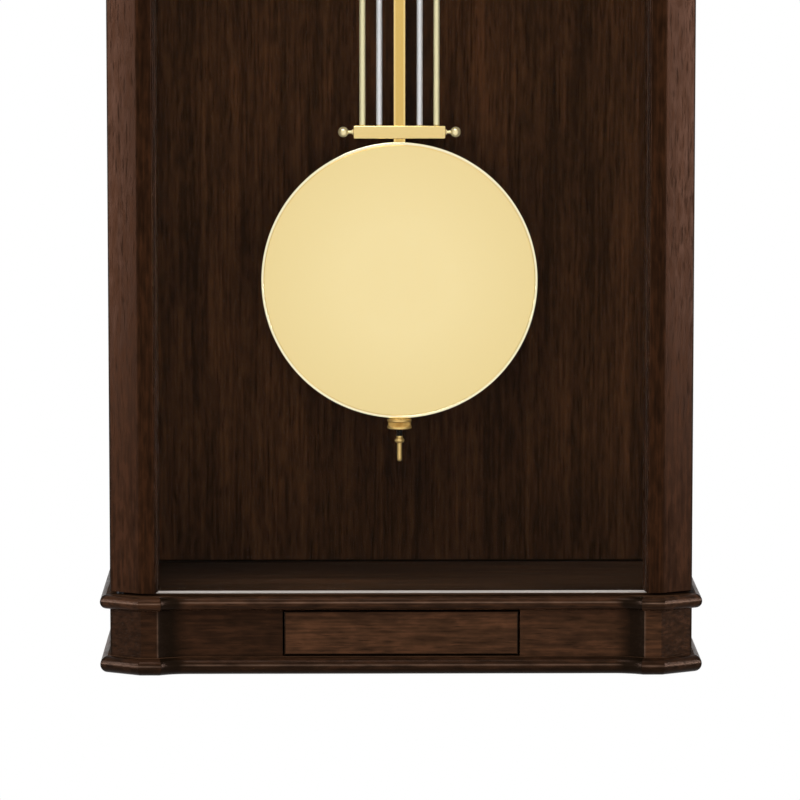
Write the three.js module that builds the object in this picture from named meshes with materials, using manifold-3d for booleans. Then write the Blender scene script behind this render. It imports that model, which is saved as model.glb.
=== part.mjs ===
// Chiming wall clock: glazed case, moulded base with drawer, gridiron pendulum, three-train movement.
// Millimetres. X to the right, Y into the wall, Z up. The origin is on the rear face of the back panel,
// straight behind the hand arbor, so the front of the clock faces -Y.
import * as THREE from 'three';
import { mergeVertices } from 'three/addons/utils/BufferGeometryUtils.js';
import Module from 'manifold-3d';

const wasm = await Module();
wasm.setup();

// Driving dimensions of the case
const caseWidth = 338;
const caseDepth = 146;
const floorDrop = 608;
const headroom = 45;
const cantWidth = 18.3;
const cantDepth = 11;
const blockWidth = 10;
const sweepWidth = 17;
const sweepDepth = 5;
const noseOverhang = 5.8;
const shelfThickness = 8.5;
const friezeHeight = 27.5;
const plinthThickness = 10;
const bedThickness = 8.5;
const corniceFriezeHeight = 27.5;
const crownThickness = 10;
const sideThickness = 12;
const backThickness = 12;
const friezeThickness = 14;
const seatThickness = 14;
const boardThickness = 8;
const boardSetback = 8.5;
const boardMargin = 15;
const seatRearReach = 4;

// Hanger plate let into the back panel
const hangerWidth = 64;
const hangerHeight = 40;
const hangerThickness = 2.5;
const hangerBelowCeiling = 40;
const keyholeRadius = 5.5;
const keyholeSlotRadius = 2.6;
const keyholeSlotRise = 12;
const keyholePocketDepth = 9;

// Door
const doorGap = 1.75;
const stileDepth = 20;
const stileClearance = 1;
const topRailHeight = 26;
const glassThickness = 4;
const glassSetback = 0.5;
const glassBevel = 1.6;
const rebateWidth = 2;
const pinInset = 6;
const pinRadius = 2.5;
const pinGrip = 6;
const pinReach = 10;
const magnetDepth = 12;
const magnetHeight = 30;
const magnetDrop = 180;
const magnetGap = 0.5;
const strikeWidth = 11;
const strikeHeight = 36;
const strikeThickness = 1.2;

// Drawer and key
const drawerWidth = 136;
const drawerGap = 0.8;
const drawerFrontThickness = 14;
const drawerEase = 0.9;
const guideThickness = 10;
const railThickness = 12;
const trayWall = 6;
const trayFloor = 4;
const trayHeadGap = 3;
const keyShaftRadius = 3.6;
const keyShaftLength = 30;
const keySquare = 3.8;
const keyWingRadius = 8;
const keyWingSpread = 11;
const keyWingThickness = 3;

// Dial and hands
const dialRadius = 112;
const dialThickness = 1.5;
const dialSides = 40;
const bezelOverlap = 5;
const bezelFlange = 8;
const bezelHeight = 6.5;
const hourHandLength = 62;
const minuteHandLength = 93;
const handThickness = 1.2;
const handSpacing = 1.8;
const hourAngle = 305;
const minuteAngle = 60;
const handTail = 14;
const neckShare = 0.3;
const leafShare = 0.66;
const handNutRadius = 4.2;
const handNutHeight = 2.6;

// Movement
const plateWidth = 124;
const plateThickness = 2.5;
const plateSpacing = 43;
const plateCrown = 18;
const seatDrop = 78;
const motionDepth = 8.5;
const pillarRadius = 4;
const pillarInset = 8;
const arborRadius = 2;
const centreArborRadius = 2.4;
const hourPipeWall = 1.5;
const wheelThickness = 2;
const rootShare = 0.48;
const tipShare = 0.2;
const addendum = 0.65;
const dedendum = 0.95;
const greatWheelTeeth = 40;
const centrePinionTeeth = 10;
const trainModule = 1.5;
const centreWheelTeeth = 42;
const thirdPinionTeeth = 7;
const centreWheelModule = 1.28;
const thirdWheelTeeth = 36;
const escapePinionTeeth = 6;
const thirdWheelModule = 1.2;
const thirdBearing = 51;
const escapeTeeth = 20;
const escapeRadius = 13;
const escapeToothDepth = 3.1;
const anchorRise = 22;
const anchorThickness = 3;
const cannonTeeth = 8;
const minuteWheelTeeth = 24;
const minutePinionTeeth = 8;
const hourWheelTeeth = 32;
const motionModule = 1.5;
const motionBearing = 35;
const sideBarrelAcross = 44;
const sideBarrelDrop = 30;
const barrelRadius = 18;
const sideGreatTeeth = 20;
const windingSquare = 5;
const windingRecess = 1;
const windingClearance = 1;
const wheelPlay = 2;
const pinionLength = 4;
const barrelRearGap = 8;
const barrelFrontGap = 7.5;
const thirdWheelBehind = 11.5;
const escapeBehind = 21.5;
const palletDrop = 1.7;
const archWidth = 4.5;
const archSpread = 50;
const anchorHubRadius = 5;
const crutchBehind = 5;
const crutchLength = 70;
const crutchRadius = 1.2;
const forkProng = 1.6;

// Chime
const chimeCount = 4;
const chimePitch = 12;
const chimeFirstAcross = 74;
const chimeRodRadius = 2;
const chimeRodStandoff = 10;
const chimeRodLength = 300;
const chimeRodStep = 15;
const chimeBlockHeight = 20;
const chimeBlockDepth = 18;
const chimeBlockMargin = 8;
const chimeBlockLift = 96;
const hammerRest = 3;
const hammerHeadRadius = 5;
const hammerHeadLength = 10;
const hammerRise = 70;
const hammerArmWidth = 3;
const hammerThickness = 2.5;
const hammerShaftForward = 12;
const hammerShaftRise = 58;
const hammerTail = 15;
const hammerHubRadius = 4.5;
const cheekThickness = 2;
const cheekMargin = 4;
const railFootThickness = 3;
const cheekBorder = 6;
const drumRadius = 8;
const drumCoreRadius = 5;
const drumLobeHeight = 3;
const drumLobes = 5;
const drumForward = 22;
const drumRise = 16;

// Pendulum
const pendulumOffset = 13;
const bobClearance = 173.5;
const bobDiameter = 165;
const bobRimRadius = 0.9;
const bobRimDepth = 3.5;
const bobDome = 6;
const bobBack = 1;
const bobGroove = 0.5;
const barWidth = 7.2;
const barThickness = 2.5;
const crossbarRise = 88.5;
const crossbarWidth = 55;
const crossbarHeight = 8;
const crossbarDepth = 5;
const upperCrossbarBelowSeat = 3;
const outerRodAcross = 22;
const innerRodAcross = 12;
const rodRadius = 1.8;
const finialRadius = 3.15;
const finialNeck = 3.2;
const finialNeckRadius = 1;
const threadRadius = 1.8;
const threadLength = 4.3;
const nutRadius = 7.3;
const nutHeight = 6.1;
const nutChamfer = 0.4;
const nutRim = 1;
const nutGroove = 0.5;
const collarRadius = 3;
const collarHeight = 4.2;
const tipRadius = 1.5;
const tipLength = 11.3;
const springWidth = 7;
const springThickness = 0.4;
const springLength = 18;
const chopThickness = 1.2;
const chopHeight = 7;
const cockWidth = 20;
const cockHeight = 12;
const cockRise = 4;
const cockReach = 5;

// Clearances
const fit = 0.3;
const runningFit = 0.4;
const overcut = 1;

// Levels and planes that follow from the sizes above
const half = caseWidth / 2;
const innerHalf = half - sideThickness;
const stileInner = half - cantWidth - blockWidth;
const centreFront = -(caseDepth - sweepDepth);
const sweepRadius = (sweepWidth * sweepWidth + sweepDepth * sweepDepth) / (2 * sweepDepth);
const sideFront = -(caseDepth - stileDepth - stileClearance);
const floorZ = -floorDrop;
const shelfBottom = floorZ - shelfThickness;
const plinthTop = shelfBottom - friezeHeight;
const bezelOuter = dialRadius + bezelFlange;
const ceilingZ = bezelOuter + headroom;
const bedTop = ceilingZ + bedThickness;
const crownBottom = bedTop + corniceFriezeHeight;
const boardFront = sideFront + boardSetback;
const boardRear = boardFront + boardThickness;
const frontPlateFront = boardRear + motionDepth;
const frontPlateRear = frontPlateFront + plateThickness;
const backPlateFront = frontPlateRear + plateSpacing;
const backPlateRear = backPlateFront + plateThickness;
const pendulumY = backPlateRear + pendulumOffset;
const pivotZ = thirdHeight() + escapeRise() + anchorRise;
const bobZ = floorZ + bobClearance;

// Finishes, one entry for each material of the clock
const finishes = {
  walnut: { color: 0x3f2a20, roughness: 0.38, metalness: 0 },
  backWalnut: { color: 0x3a261b, roughness: 0.5, metalness: 0 },
  glass: { color: 0xdfe6e4, roughness: 0.05, metalness: 0, transparent: true, opacity: 0.25 },
  brass: { color: 0xe0c07c, roughness: 0.28, metalness: 1 },
  satinBrass: { color: 0xe4cc90, roughness: 0.42, metalness: 1 },
  steel: { color: 0xc4c4c2, roughness: 0.25, metalness: 1 },
  iron: { color: 0x33343a, roughness: 0.6, metalness: 0.6 },
  dial: { color: 0xf1ece0, roughness: 0.5, metalness: 0 },
  black: { color: 0x17171a, roughness: 0.4, metalness: 0.3 },
};

const clock = new THREE.Group();

// Merges the corners of a closed surface and turns its faces outwards.
function closedSurface(geometry) {
  const bare = geometry.clone();
  bare.deleteAttribute('normal');
  bare.deleteAttribute('uv');
  const merged = mergeVertices(bare, 1e-4);
  const place = merged.attributes.position;
  const corners = merged.index.array;
  const a = new THREE.Vector3();
  const b = new THREE.Vector3();
  const c = new THREE.Vector3();
  const kept = [];
  let volume = 0;
  for (let i = 0; i < corners.length; i += 3) {
    const [p, q, r] = [corners[i], corners[i + 1], corners[i + 2]];
    if (p === q || q === r || r === p) continue;
    a.fromBufferAttribute(place, p);
    b.fromBufferAttribute(place, q);
    c.fromBufferAttribute(place, r);
    volume += a.dot(b.cross(c));
    kept.push(p, q, r);
  }
  if (volume < 0) kept.reverse();
  merged.setIndex(kept);
  return merged;
}

function solidOf(geometry) {
  const surface = closedSurface(geometry);
  return new wasm.Manifold(new wasm.Mesh({
    numProp: 3,
    vertProperties: new Float32Array(surface.attributes.position.array),
    triVerts: new Uint32Array(surface.index.array),
  }));
}

function geometryOf(solid) {
  const mesh = solid.getMesh();
  const geometry = new THREE.BufferGeometry();
  geometry.setAttribute('position', new THREE.BufferAttribute(new Float32Array(mesh.vertProperties), 3));
  geometry.setIndex(new THREE.BufferAttribute(new Uint32Array(mesh.triVerts), 1));
  return geometry;
}

function joined(...geometries) {
  return geometryOf(geometries.map(solidOf).reduce((whole, next) => whole.add(next)));
}

function cut(geometry, ...tools) {
  return geometryOf(tools.map(solidOf).reduce((rest, tool) => rest.subtract(tool), solidOf(geometry)));
}

function addPart(name, finish, geometry) {
  const mesh = new THREE.Mesh(closedSurface(geometry), new THREE.MeshStandardMaterial(finishes[finish]));
  mesh.name = name;
  clock.add(mesh);
}

function box(x0, x1, y0, y1, z0, z1) {
  const block = new THREE.BoxGeometry(Math.abs(x1 - x0), Math.abs(y1 - y0), Math.abs(z1 - z0));
  return block.translate((x0 + x1) / 2, (y0 + y1) / 2, (z0 + z1) / 2);
}

// Round bars along each axis, between two stations of that axis.
function rodX(radius, x0, x1, y, z, sides = 12) {
  const bar = new THREE.CylinderGeometry(radius, radius, Math.abs(x1 - x0), sides).rotateZ(Math.PI / 2);
  return bar.translate((x0 + x1) / 2, y, z);
}

function rodY(radius, y0, y1, x, z, sides = 12) {
  const bar = new THREE.CylinderGeometry(radius, radius, Math.abs(y1 - y0), sides);
  return bar.translate(x, (y0 + y1) / 2, z);
}

function rodZ(radius, z0, z1, x, y, sides = 16) {
  const bar = new THREE.CylinderGeometry(radius, radius, Math.abs(z1 - z0), sides).rotateX(Math.PI / 2);
  return bar.translate(x, y, (z0 + z1) / 2);
}

// Extrusions of a flat outline: upwards from a plan, forwards from an elevation, sideways from a section.
function upright(shape, z0, z1) {
  return new THREE.ExtrudeGeometry(shape, { depth: z1 - z0, bevelEnabled: false }).translate(0, 0, z0);
}

function forward(shape, yRear, yFront) {
  const slab = new THREE.ExtrudeGeometry(shape, {
    depth: yRear - yFront, bevelEnabled: false, curveSegments: 6,
  });
  return slab.rotateX(Math.PI / 2).translate(0, yRear, 0);
}

function sideways(shape, x0, x1) {
  const slab = new THREE.ExtrudeGeometry(shape, { depth: x1 - x0, bevelEnabled: false });
  const turn = new THREE.Matrix4().makeBasis(
    new THREE.Vector3(0, 1, 0), new THREE.Vector3(0, 0, 1), new THREE.Vector3(1, 0, 0),
  );
  return slab.applyMatrix4(turn).translate(x0, 0, 0);
}

function shapeOf(points) {
  return new THREE.Shape(points.map(([u, v]) => new THREE.Vector2(u, v)));
}

function circleShape(radius, u = 0, v = 0, sides = 12) {
  const turns = Array.from({ length: sides }, (_, i) => (i / sides) * Math.PI * 2);
  return shapeOf(turns.map((turn) => [u + radius * Math.cos(turn), v + radius * Math.sin(turn)]));
}

// Skin through a stack of outlines with equal point counts, capped at both ends.
function loft(outlines) {
  const flip = THREE.ShapeUtils.isClockWise(outlines[0]);
  const rings = outlines.map((outline) => (flip ? [...outline].reverse() : outline));
  const count = rings[0].length;
  const flat = rings.flat().flatMap((point) => point.toArray());
  const faces = [];
  for (let level = 0; level + 1 < rings.length; level += 1) {
    for (let i = 0; i < count; i += 1) {
      const a = level * count + i;
      const b = level * count + ((i + 1) % count);
      faces.push(a, b, a + count, b, b + count, a + count);
    }
  }
  const last = (rings.length - 1) * count;
  const bottom = rings[0].map((point) => new THREE.Vector2(point.x, point.y));
  for (const [a, b, c] of THREE.ShapeUtils.triangulateShape(bottom, [])) {
    faces.push(a, c, b, last + a, last + b, last + c);
  }
  const geometry = new THREE.BufferGeometry();
  geometry.setAttribute('position', new THREE.Float32BufferAttribute(flat, 3));
  geometry.setIndex(faces);
  return geometry;
}

// Gear train geometry: arbor places follow from modules and tooth counts.
function pitchRadius(teeth, module) {
  return teeth * module / 2;
}

function centreToThird() {
  return pitchRadius(centreWheelTeeth + thirdPinionTeeth, centreWheelModule);
}

function thirdAcross() {
  return centreToThird() * Math.cos(THREE.MathUtils.degToRad(thirdBearing));
}

function thirdHeight() {
  return centreToThird() * Math.sin(THREE.MathUtils.degToRad(thirdBearing));
}

// The escape arbor stands on the centre line, one mesh distance away from the third arbor.
function escapeRise() {
  const reach = pitchRadius(thirdWheelTeeth + escapePinionTeeth, thirdWheelModule);
  return Math.sqrt(reach * reach - thirdAcross() * thirdAcross());
}

// Plan of the case front half by half: straight side, cant, small front block, hollow sweep, centre front.
// Growing it moves every face outwards by the same amount, except the face against the wall.
function planHalf(grow, steps = 5) {
  const sideMitre = Math.tan(Math.atan2(cantWidth, cantDepth) / 2);
  const frontMitre = Math.tan(Math.atan2(cantDepth, cantWidth) / 2);
  const front = -(caseDepth + grow);
  const sweepEnd = stileInner - sweepWidth;
  const points = [
    [half + grow, 0],
    [half + grow, -(caseDepth - cantDepth) - grow * sideMitre],
    [half - cantWidth + grow * frontMitre, front],
  ];
  const radius = sweepRadius - grow;
  const turnAtBlock = Math.acos(1 - sweepDepth / radius);
  for (let i = steps; i >= 0; i -= 1) {
    const turn = (i / steps) * turnAtBlock;
    points.push([sweepEnd + radius * Math.sin(turn), front + sweepDepth - radius * (1 - Math.cos(turn))]);
  }
  return points;
}

function planRing(grow, z) {
  const right = planHalf(grow);
  const left = right.map(([x, y]) => [-x, y]).reverse();
  return [...right, ...left].map(([x, y]) => new THREE.Vector3(x, y, z));
}

// Board with a half-round nose run round the cants, blocks and sweeps.
function mouldedBoard(thickness, z0, steps = 6) {
  const nose = thickness / 2;
  const rings = [];
  for (let i = 0; i <= steps; i += 1) {
    const turn = -Math.PI / 2 + (i / steps) * Math.PI;
    rings.push(planRing(noseOverhang - nose + nose * Math.cos(turn), z0 + nose + nose * Math.sin(turn)));
  }
  return loft(rings);
}

// Case: mouldings
const pinX = -(half - pinInset);
const pinY = -(caseDepth - stileDepth + pinInset);
const lowerPinHole = rodZ(pinRadius + fit, floorZ - pinGrip - fit, floorZ + doorGap, pinX, pinY);
const upperPinHole = rodZ(pinRadius + fit, ceilingZ - doorGap, ceilingZ + pinGrip + fit, pinX, pinY);
addPart('base_plinth', 'walnut', mouldedBoard(plinthThickness, plinthTop - plinthThickness));
addPart('base_shelf', 'walnut', cut(mouldedBoard(shelfThickness, shelfBottom), lowerPinHole));
addPart('cornice_bed', 'walnut', cut(mouldedBoard(bedThickness, ceilingZ), upperPinHole));
addPart('cornice_frieze', 'walnut', loft([planRing(0, bedTop), planRing(0, crownBottom)]));
addPart('cornice_crown', 'walnut', mouldedBoard(crownThickness, crownBottom));

// Case: base friezes on both sides of the drawer, mitred front board and side board in one
const drawerOpening = drawerWidth / 2 + drawerGap;
const friezeRear = centreFront + friezeThickness;
const friezeSide = half - sideThickness;
for (const [name, side] of [['base_frieze_left', -1], ['base_frieze_right', 1]]) {
  const outline = [
    ...planHalf(0),
    [drawerOpening, centreFront],
    [drawerOpening, friezeRear],
    [friezeSide, friezeRear],
    [friezeSide, 0],
  ];
  addPart(name, 'walnut', upright(shapeOf(outline.map(([x, y]) => [side * x, y])), plinthTop, shelfBottom));
}

// Case: back rail of the base with the two guides that the drawer runs between
const guideOuter = drawerOpening + guideThickness;
addPart('drawer_runner_frame', 'backWalnut', upright(shapeOf([
  [-friezeSide, 0],
  [friezeSide, 0],
  [friezeSide, -railThickness],
  [guideOuter, -railThickness],
  [guideOuter, friezeRear],
  [drawerOpening, friezeRear],
  [drawerOpening, -railThickness],
  [-drawerOpening, -railThickness],
  [-drawerOpening, friezeRear],
  [-guideOuter, friezeRear],
  [-guideOuter, -railThickness],
  [-friezeSide, -railThickness],
]), plinthTop, shelfBottom));

// Case: sides and back, with the pocket that takes the hanger plate and the head of a wall screw
const hangerTop = ceilingZ - hangerBelowCeiling;
const keyholeZ = hangerTop - hangerHeight / 2 - keyholeSlotRise / 2;
addPart('left_side_panel', 'walnut', box(-half, -innerHalf, sideFront, 0, floorZ, ceilingZ));
addPart('right_side_panel', 'walnut', box(innerHalf, half, sideFront, 0, floorZ, ceilingZ));
addPart('back_panel', 'backWalnut', cut(
  box(-innerHalf, innerHalf, -backThickness, 0, floorZ, ceilingZ),
  box(
    -hangerWidth / 2 - fit, hangerWidth / 2 + fit, -hangerThickness - fit, overcut,
    hangerTop - hangerHeight - fit, hangerTop + fit,
  ),
  box(
    -keyholeRadius - fit, keyholeRadius + fit, -keyholePocketDepth, 0,
    keyholeZ - keyholeRadius - fit, keyholeZ + keyholeSlotRise + keyholeRadius,
  ),
));

function keyhole() {
  const slotAngle = Math.asin(keyholeSlotRadius / keyholeRadius);
  const hole = new THREE.Path();
  hole.absarc(0, keyholeZ, keyholeRadius, Math.PI / 2 + slotAngle, Math.PI * 2.5 - slotAngle);
  hole.absarc(0, keyholeZ + keyholeSlotRise, keyholeSlotRadius, 0, Math.PI);
  return hole;
}

const hangerShape = shapeOf([
  [-hangerWidth / 2, hangerTop - hangerHeight],
  [hangerWidth / 2, hangerTop - hangerHeight],
  [hangerWidth / 2, hangerTop],
  [-hangerWidth / 2, hangerTop],
]);
hangerShape.holes.push(keyhole());
addPart('hanger_plate', 'steel', forward(hangerShape, 0, -hangerThickness));

// Case: seat board under the movement, dial board in front of it with holes for the hands and winding
const seatTop = -seatDrop;
const seatRear = backPlateRear + seatRearReach;
const timeBarrelZ = -pitchRadius(greatWheelTeeth + centrePinionTeeth, trainModule);
const windingPlaces = [
  ['strike_barrel', -sideBarrelAcross, -sideBarrelDrop],
  ['time_barrel', 0, timeBarrelZ],
  ['chime_barrel', sideBarrelAcross, -sideBarrelDrop],
];
const windingHole = windingSquare / Math.SQRT2 + windingClearance;
const pipeRadius = centreArborRadius + runningFit + hourPipeWall;
const boardBottom = -bezelOuter - boardMargin;
addPart('seat_board', 'backWalnut', box(
  -innerHalf, innerHalf, seatRear, boardRear, seatTop - seatThickness, seatTop,
));

function drilled(shape, centreHole) {
  shape.holes.push(circleShape(centreHole));
  for (const [, x, z] of windingPlaces) {
    shape.holes.push(circleShape(windingHole, x, z));
  }
  return shape;
}

addPart('dial_board', 'walnut', forward(drilled(shapeOf([
  [-innerHalf, boardBottom],
  [innerHalf, boardBottom],
  [innerHalf, ceilingZ],
  [-innerHalf, ceilingZ],
]), pipeRadius + runningFit), boardRear, boardFront));

// Door: two canted stiles and a top rail round the bonded pane; there is no bottom rail
const stileRear = -(caseDepth - stileDepth);
const stileBottom = floorZ + doorGap;
const stileTop = ceilingZ - doorGap;
const glassFront = -(caseDepth - glassSetback);
const glassRear = glassFront + glassThickness;
const rebateRear = glassRear + fit;
const rebateEdge = stileInner + rebateWidth;

function stileShape(side, steps = 5) {
  const points = [
    [rebateEdge, -caseDepth],
    [rebateEdge, rebateRear],
    [stileInner, rebateRear],
    [stileInner, stileRear],
  ];
  for (let i = 0; i <= steps; i += 1) {
    const turn = Math.PI / 2 * (1 - i / steps);
    points.push([
      half - pinInset + pinInset * Math.cos(turn), stileRear - pinInset + pinInset * Math.sin(turn),
    ]);
  }
  points.push([half, -(caseDepth - cantDepth)], [half - cantWidth, -caseDepth]);
  return shapeOf(points.map(([x, y]) => [side * x, y]));
}

addPart('door_left_stile', 'walnut', cut(
  upright(stileShape(-1), stileBottom, stileTop),
  rodZ(pinRadius + fit, stileBottom - overcut, stileBottom + pinReach + fit, pinX, pinY),
  rodZ(pinRadius + fit, stileTop - pinReach - fit, stileTop + overcut, pinX, pinY),
));
addPart('door_right_stile', 'walnut', upright(stileShape(1), stileBottom, stileTop));
const railBottom = stileTop - topRailHeight;
addPart('door_top_rail', 'walnut', sideways(shapeOf([
  [stileRear, railBottom],
  [rebateRear, railBottom],
  [rebateRear, railBottom + rebateWidth],
  [-caseDepth, railBottom + rebateWidth],
  [-caseDepth, stileTop],
  [stileRear, stileTop],
]), -stileInner, stileInner));

function paneRing(inset, y) {
  const [x, z0, z1] = [rebateEdge - fit - inset, stileBottom + inset, railBottom + rebateWidth - fit - inset];
  return [[-x, z0], [x, z0], [x, z1], [-x, z1]].map(([u, v]) => new THREE.Vector3(u, v, y));
}

// A pane drawn flat in X and Z with its depth as the third value, then stood upright.
function standUp(geometry) {
  const turn = new THREE.Matrix4().makeBasis(
    new THREE.Vector3(1, 0, 0), new THREE.Vector3(0, 0, 1), new THREE.Vector3(0, 1, 0),
  );
  return geometry.applyMatrix4(turn);
}

addPart('door_glass', 'glass', standUp(loft([
  paneRing(0, glassRear), paneRing(0, glassFront + glassBevel / 2), paneRing(glassBevel, glassFront),
])));
const magnetZ = -magnetDrop;
const strikeOuter = innerHalf - fit;
addPart('door_strike_plate', 'steel', box(
  strikeOuter - strikeWidth, strikeOuter, stileRear, stileRear + strikeThickness,
  magnetZ - strikeHeight / 2, magnetZ + strikeHeight / 2,
));
const magnetFront = stileRear + strikeThickness + magnetGap;
addPart('door_magnet', 'black', box(
  strikeOuter - strikeWidth, innerHalf, magnetFront, magnetFront + magnetDepth,
  magnetZ - magnetHeight / 2, magnetZ + magnetHeight / 2,
));
addPart('lower_hinge_pin', 'steel', rodZ(pinRadius, floorZ - pinGrip, stileBottom + pinReach, pinX, pinY));
addPart('upper_hinge_pin', 'steel', rodZ(pinRadius, stileTop - pinReach, ceilingZ + pinGrip, pinX, pinY));

// Drawer: flush front with eased edges, open tray behind it, winding key lying in the tray
const drawerBottom = plinthTop + drawerGap;
const drawerTop = shelfBottom - drawerGap;
const drawerRear = centreFront + drawerFrontThickness;

function drawerRing(inset, y) {
  const [x, z0, z1] = [drawerWidth / 2 - inset, drawerBottom + inset, drawerTop - inset];
  return [[-x, z0], [x, z0], [x, z1], [-x, z1]].map(([u, v]) => new THREE.Vector3(u, v, y));
}

addPart('drawer_front', 'walnut', standUp(loft([
  drawerRing(0, drawerRear), drawerRing(0, centreFront + drawerEase), drawerRing(drawerEase, centreFront),
])));
const trayHalf = drawerWidth / 2;
const trayRear = -railThickness - drawerGap;
const trayBottom = plinthTop + fit;
const trayTop = shelfBottom - trayHeadGap;
addPart('drawer_tray', 'backWalnut', cut(
  box(-trayHalf, trayHalf, drawerRear, trayRear, trayBottom, trayTop),
  box(
    -trayHalf + trayWall, trayHalf - trayWall, drawerRear + trayWall, trayRear - trayWall,
    trayBottom + trayFloor, trayTop + overcut,
  ),
));

function windingKey() {
  const lie = trayBottom + trayFloor + fit + keyShaftRadius;
  const y = (drawerRear + trayRear) / 2;
  const shaft = rodX(keyShaftRadius, -keyShaftLength, keyWingThickness, y, lie);
  const wings = [-1, 1].map((side) => rodZ(
    keyWingRadius, lie - keyWingThickness / 2, lie + keyWingThickness / 2,
    keyWingRadius, y + side * keyWingSpread / 2,
  ));
  const socket = box(
    -keyShaftLength - overcut, -keyShaftLength / 2, y - keySquare / 2, y + keySquare / 2,
    lie - keySquare / 2, lie + keySquare / 2,
  );
  return cut(joined(shaft, ...wings), socket);
}

addPart('winding_key', 'brass', windingKey());

// Dial: disc on the dial board, held by a turned bezel, with the hands on their pipe and arbor
const dialFront = boardFront - dialThickness;
const hourHandRear = dialFront - handSpacing;
const hourHandFront = hourHandRear - handThickness;
const minuteHandRear = hourHandFront - handSpacing;
const minuteHandFront = minuteHandRear - handThickness;
const handNutFront = minuteHandFront - handNutHeight;
addPart('dial_plate', 'dial', forward(
  drilled(circleShape(dialRadius, 0, 0, dialSides), pipeRadius + runningFit), boardFront, dialFront,
));

function turned(profile, sides) {
  return new THREE.LatheGeometry(profile.map(([r, h]) => new THREE.Vector2(r, h)), sides);
}

const bezelSeat = dialRadius + fit;
const bezelLip = dialRadius - bezelOverlap;
const bezelCrown = boardFront - bezelHeight;
addPart('bezel_ring', 'brass', turned([
  [bezelSeat, boardFront],
  [bezelOuter, boardFront],
  [bezelOuter, boardFront - bezelHeight / 3],
  [bezelOuter - bezelFlange / 3, bezelCrown],
  [bezelSeat, bezelCrown],
  [bezelLip, dialFront - 2 * fit],
  [bezelLip, dialFront - fit],
  [bezelSeat, dialFront - fit],
  [bezelSeat, boardFront],
], dialSides));

// A leaf hand: narrow neck, widest at two thirds, pointed tip, round hub, short tail.
function hand(length, hubRadius, boreRadius, angle, yRear, yFront) {
  const neck = hubRadius / 5;
  const leaf = hubRadius / 2;
  const blade = shapeOf([
    [-neck, -handTail], [neck, -handTail], [neck, length * neckShare], [leaf, length * leafShare],
    [0, length], [-leaf, length * leafShare], [-neck, length * neckShare],
  ]);
  const hub = circleShape(hubRadius, 0, 0, 24);
  const whole = joined(forward(blade, yRear, yFront), forward(hub, yRear, yFront));
  const bore = rodY(boreRadius, yRear + overcut, yFront - overcut, 0, 0);
  return cut(whole, bore).rotateY(THREE.MathUtils.degToRad(angle));
}

const handHubRadius = pipeRadius + fit + hourPipeWall;
addPart('hour_hand', 'black', hand(
  hourHandLength, handHubRadius, pipeRadius + fit, hourAngle, hourHandRear, hourHandFront,
));
addPart('minute_hand', 'black', hand(
  minuteHandLength, handHubRadius, centreArborRadius + fit, minuteAngle, minuteHandRear, minuteHandFront,
));
addPart('hand_nut', 'brass', turned([
  [centreArborRadius + fit, minuteHandFront],
  [handNutRadius, minuteHandFront],
  [handNutRadius, minuteHandFront - handNutHeight / 2],
  [handNutRadius - handNutHeight / 4, handNutFront],
  [centreArborRadius + fit, handNutFront],
  [centreArborRadius + fit, minuteHandFront],
], 16));

// Movement: two plates held apart by pillars, standing on the seat board
const plateTop = pivotZ + plateCrown;
const plateHalf = plateWidth / 2;
const plateOutline = [
  [-plateHalf, seatTop], [plateHalf, seatTop], [plateHalf, plateTop], [-plateHalf, plateTop],
];
const frontPlate = drilled(shapeOf(plateOutline), centreArborRadius + runningFit);
addPart('movement_front_plate', 'brass', forward(frontPlate, frontPlateRear, frontPlateFront));
const backPlate = shapeOf(plateOutline);
backPlate.holes.push(circleShape(arborRadius + runningFit, 0, pivotZ));
const pillars = [-1, 1].flatMap((side) => [seatTop + pillarInset, plateTop - pillarInset].map((z) => rodY(
  pillarRadius, backPlateFront + plateThickness / 2, frontPlateRear, side * (plateHalf - pillarInset), z, 12,
)));
addPart('movement_back_plate', 'brass', joined(
  forward(backPlate, backPlateRear, backPlateFront), ...pillars,
));

// Outline of a wheel with straight-sided teeth; one tooth is centred on the given bearing.
function toothed(teeth, root, tip, bearing, u, v) {
  const pitch = Math.PI * 2 / teeth;
  const [rootHalf, tipHalf] = [rootShare * pitch / 2, tipShare * pitch / 2];
  const points = [];
  for (let i = 0; i < teeth; i += 1) {
    const middle = bearing + i * pitch;
    for (const [turn, radius] of [[-rootHalf, root], [-tipHalf, tip], [tipHalf, tip], [rootHalf, root]]) {
      points.push([u + radius * Math.cos(middle + turn), v + radius * Math.sin(middle + turn)]);
    }
  }
  return shapeOf(points);
}

function gear(teeth, module, bearing, x, z, yRear, yFront) {
  const pitch = pitchRadius(teeth, module);
  const [root, tip] = [pitch - dedendum * module, pitch + addendum * module];
  return forward(toothed(teeth, root, tip, bearing, x, z), yRear, yFront);
}

// Bearing that puts a gap of the driven wheel opposite a tooth of its driver.
function meshing(bearing, teeth) {
  return bearing + Math.PI + Math.PI / teeth;
}

const upBearing = Math.PI / 2;
const thirdTurn = THREE.MathUtils.degToRad(thirdBearing);
const motionTurn = THREE.MathUtils.degToRad(motionBearing);
const thirdX = thirdAcross();
const thirdZ = thirdHeight();
const escapeZ = thirdZ + escapeRise();
const escapeTurn = Math.atan2(escapeZ - thirdZ, -thirdX);
const motionReach = pitchRadius(cannonTeeth + minuteWheelTeeth, motionModule);
const hourModule = 2 * motionReach / (minutePinionTeeth + hourWheelTeeth);
const minuteX = motionReach * Math.cos(motionTurn);
const minuteZ = motionReach * Math.sin(motionTurn);
const rearEnd = backPlateFront - fit;
const frontEnd = frontPlateRear + fit;

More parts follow.
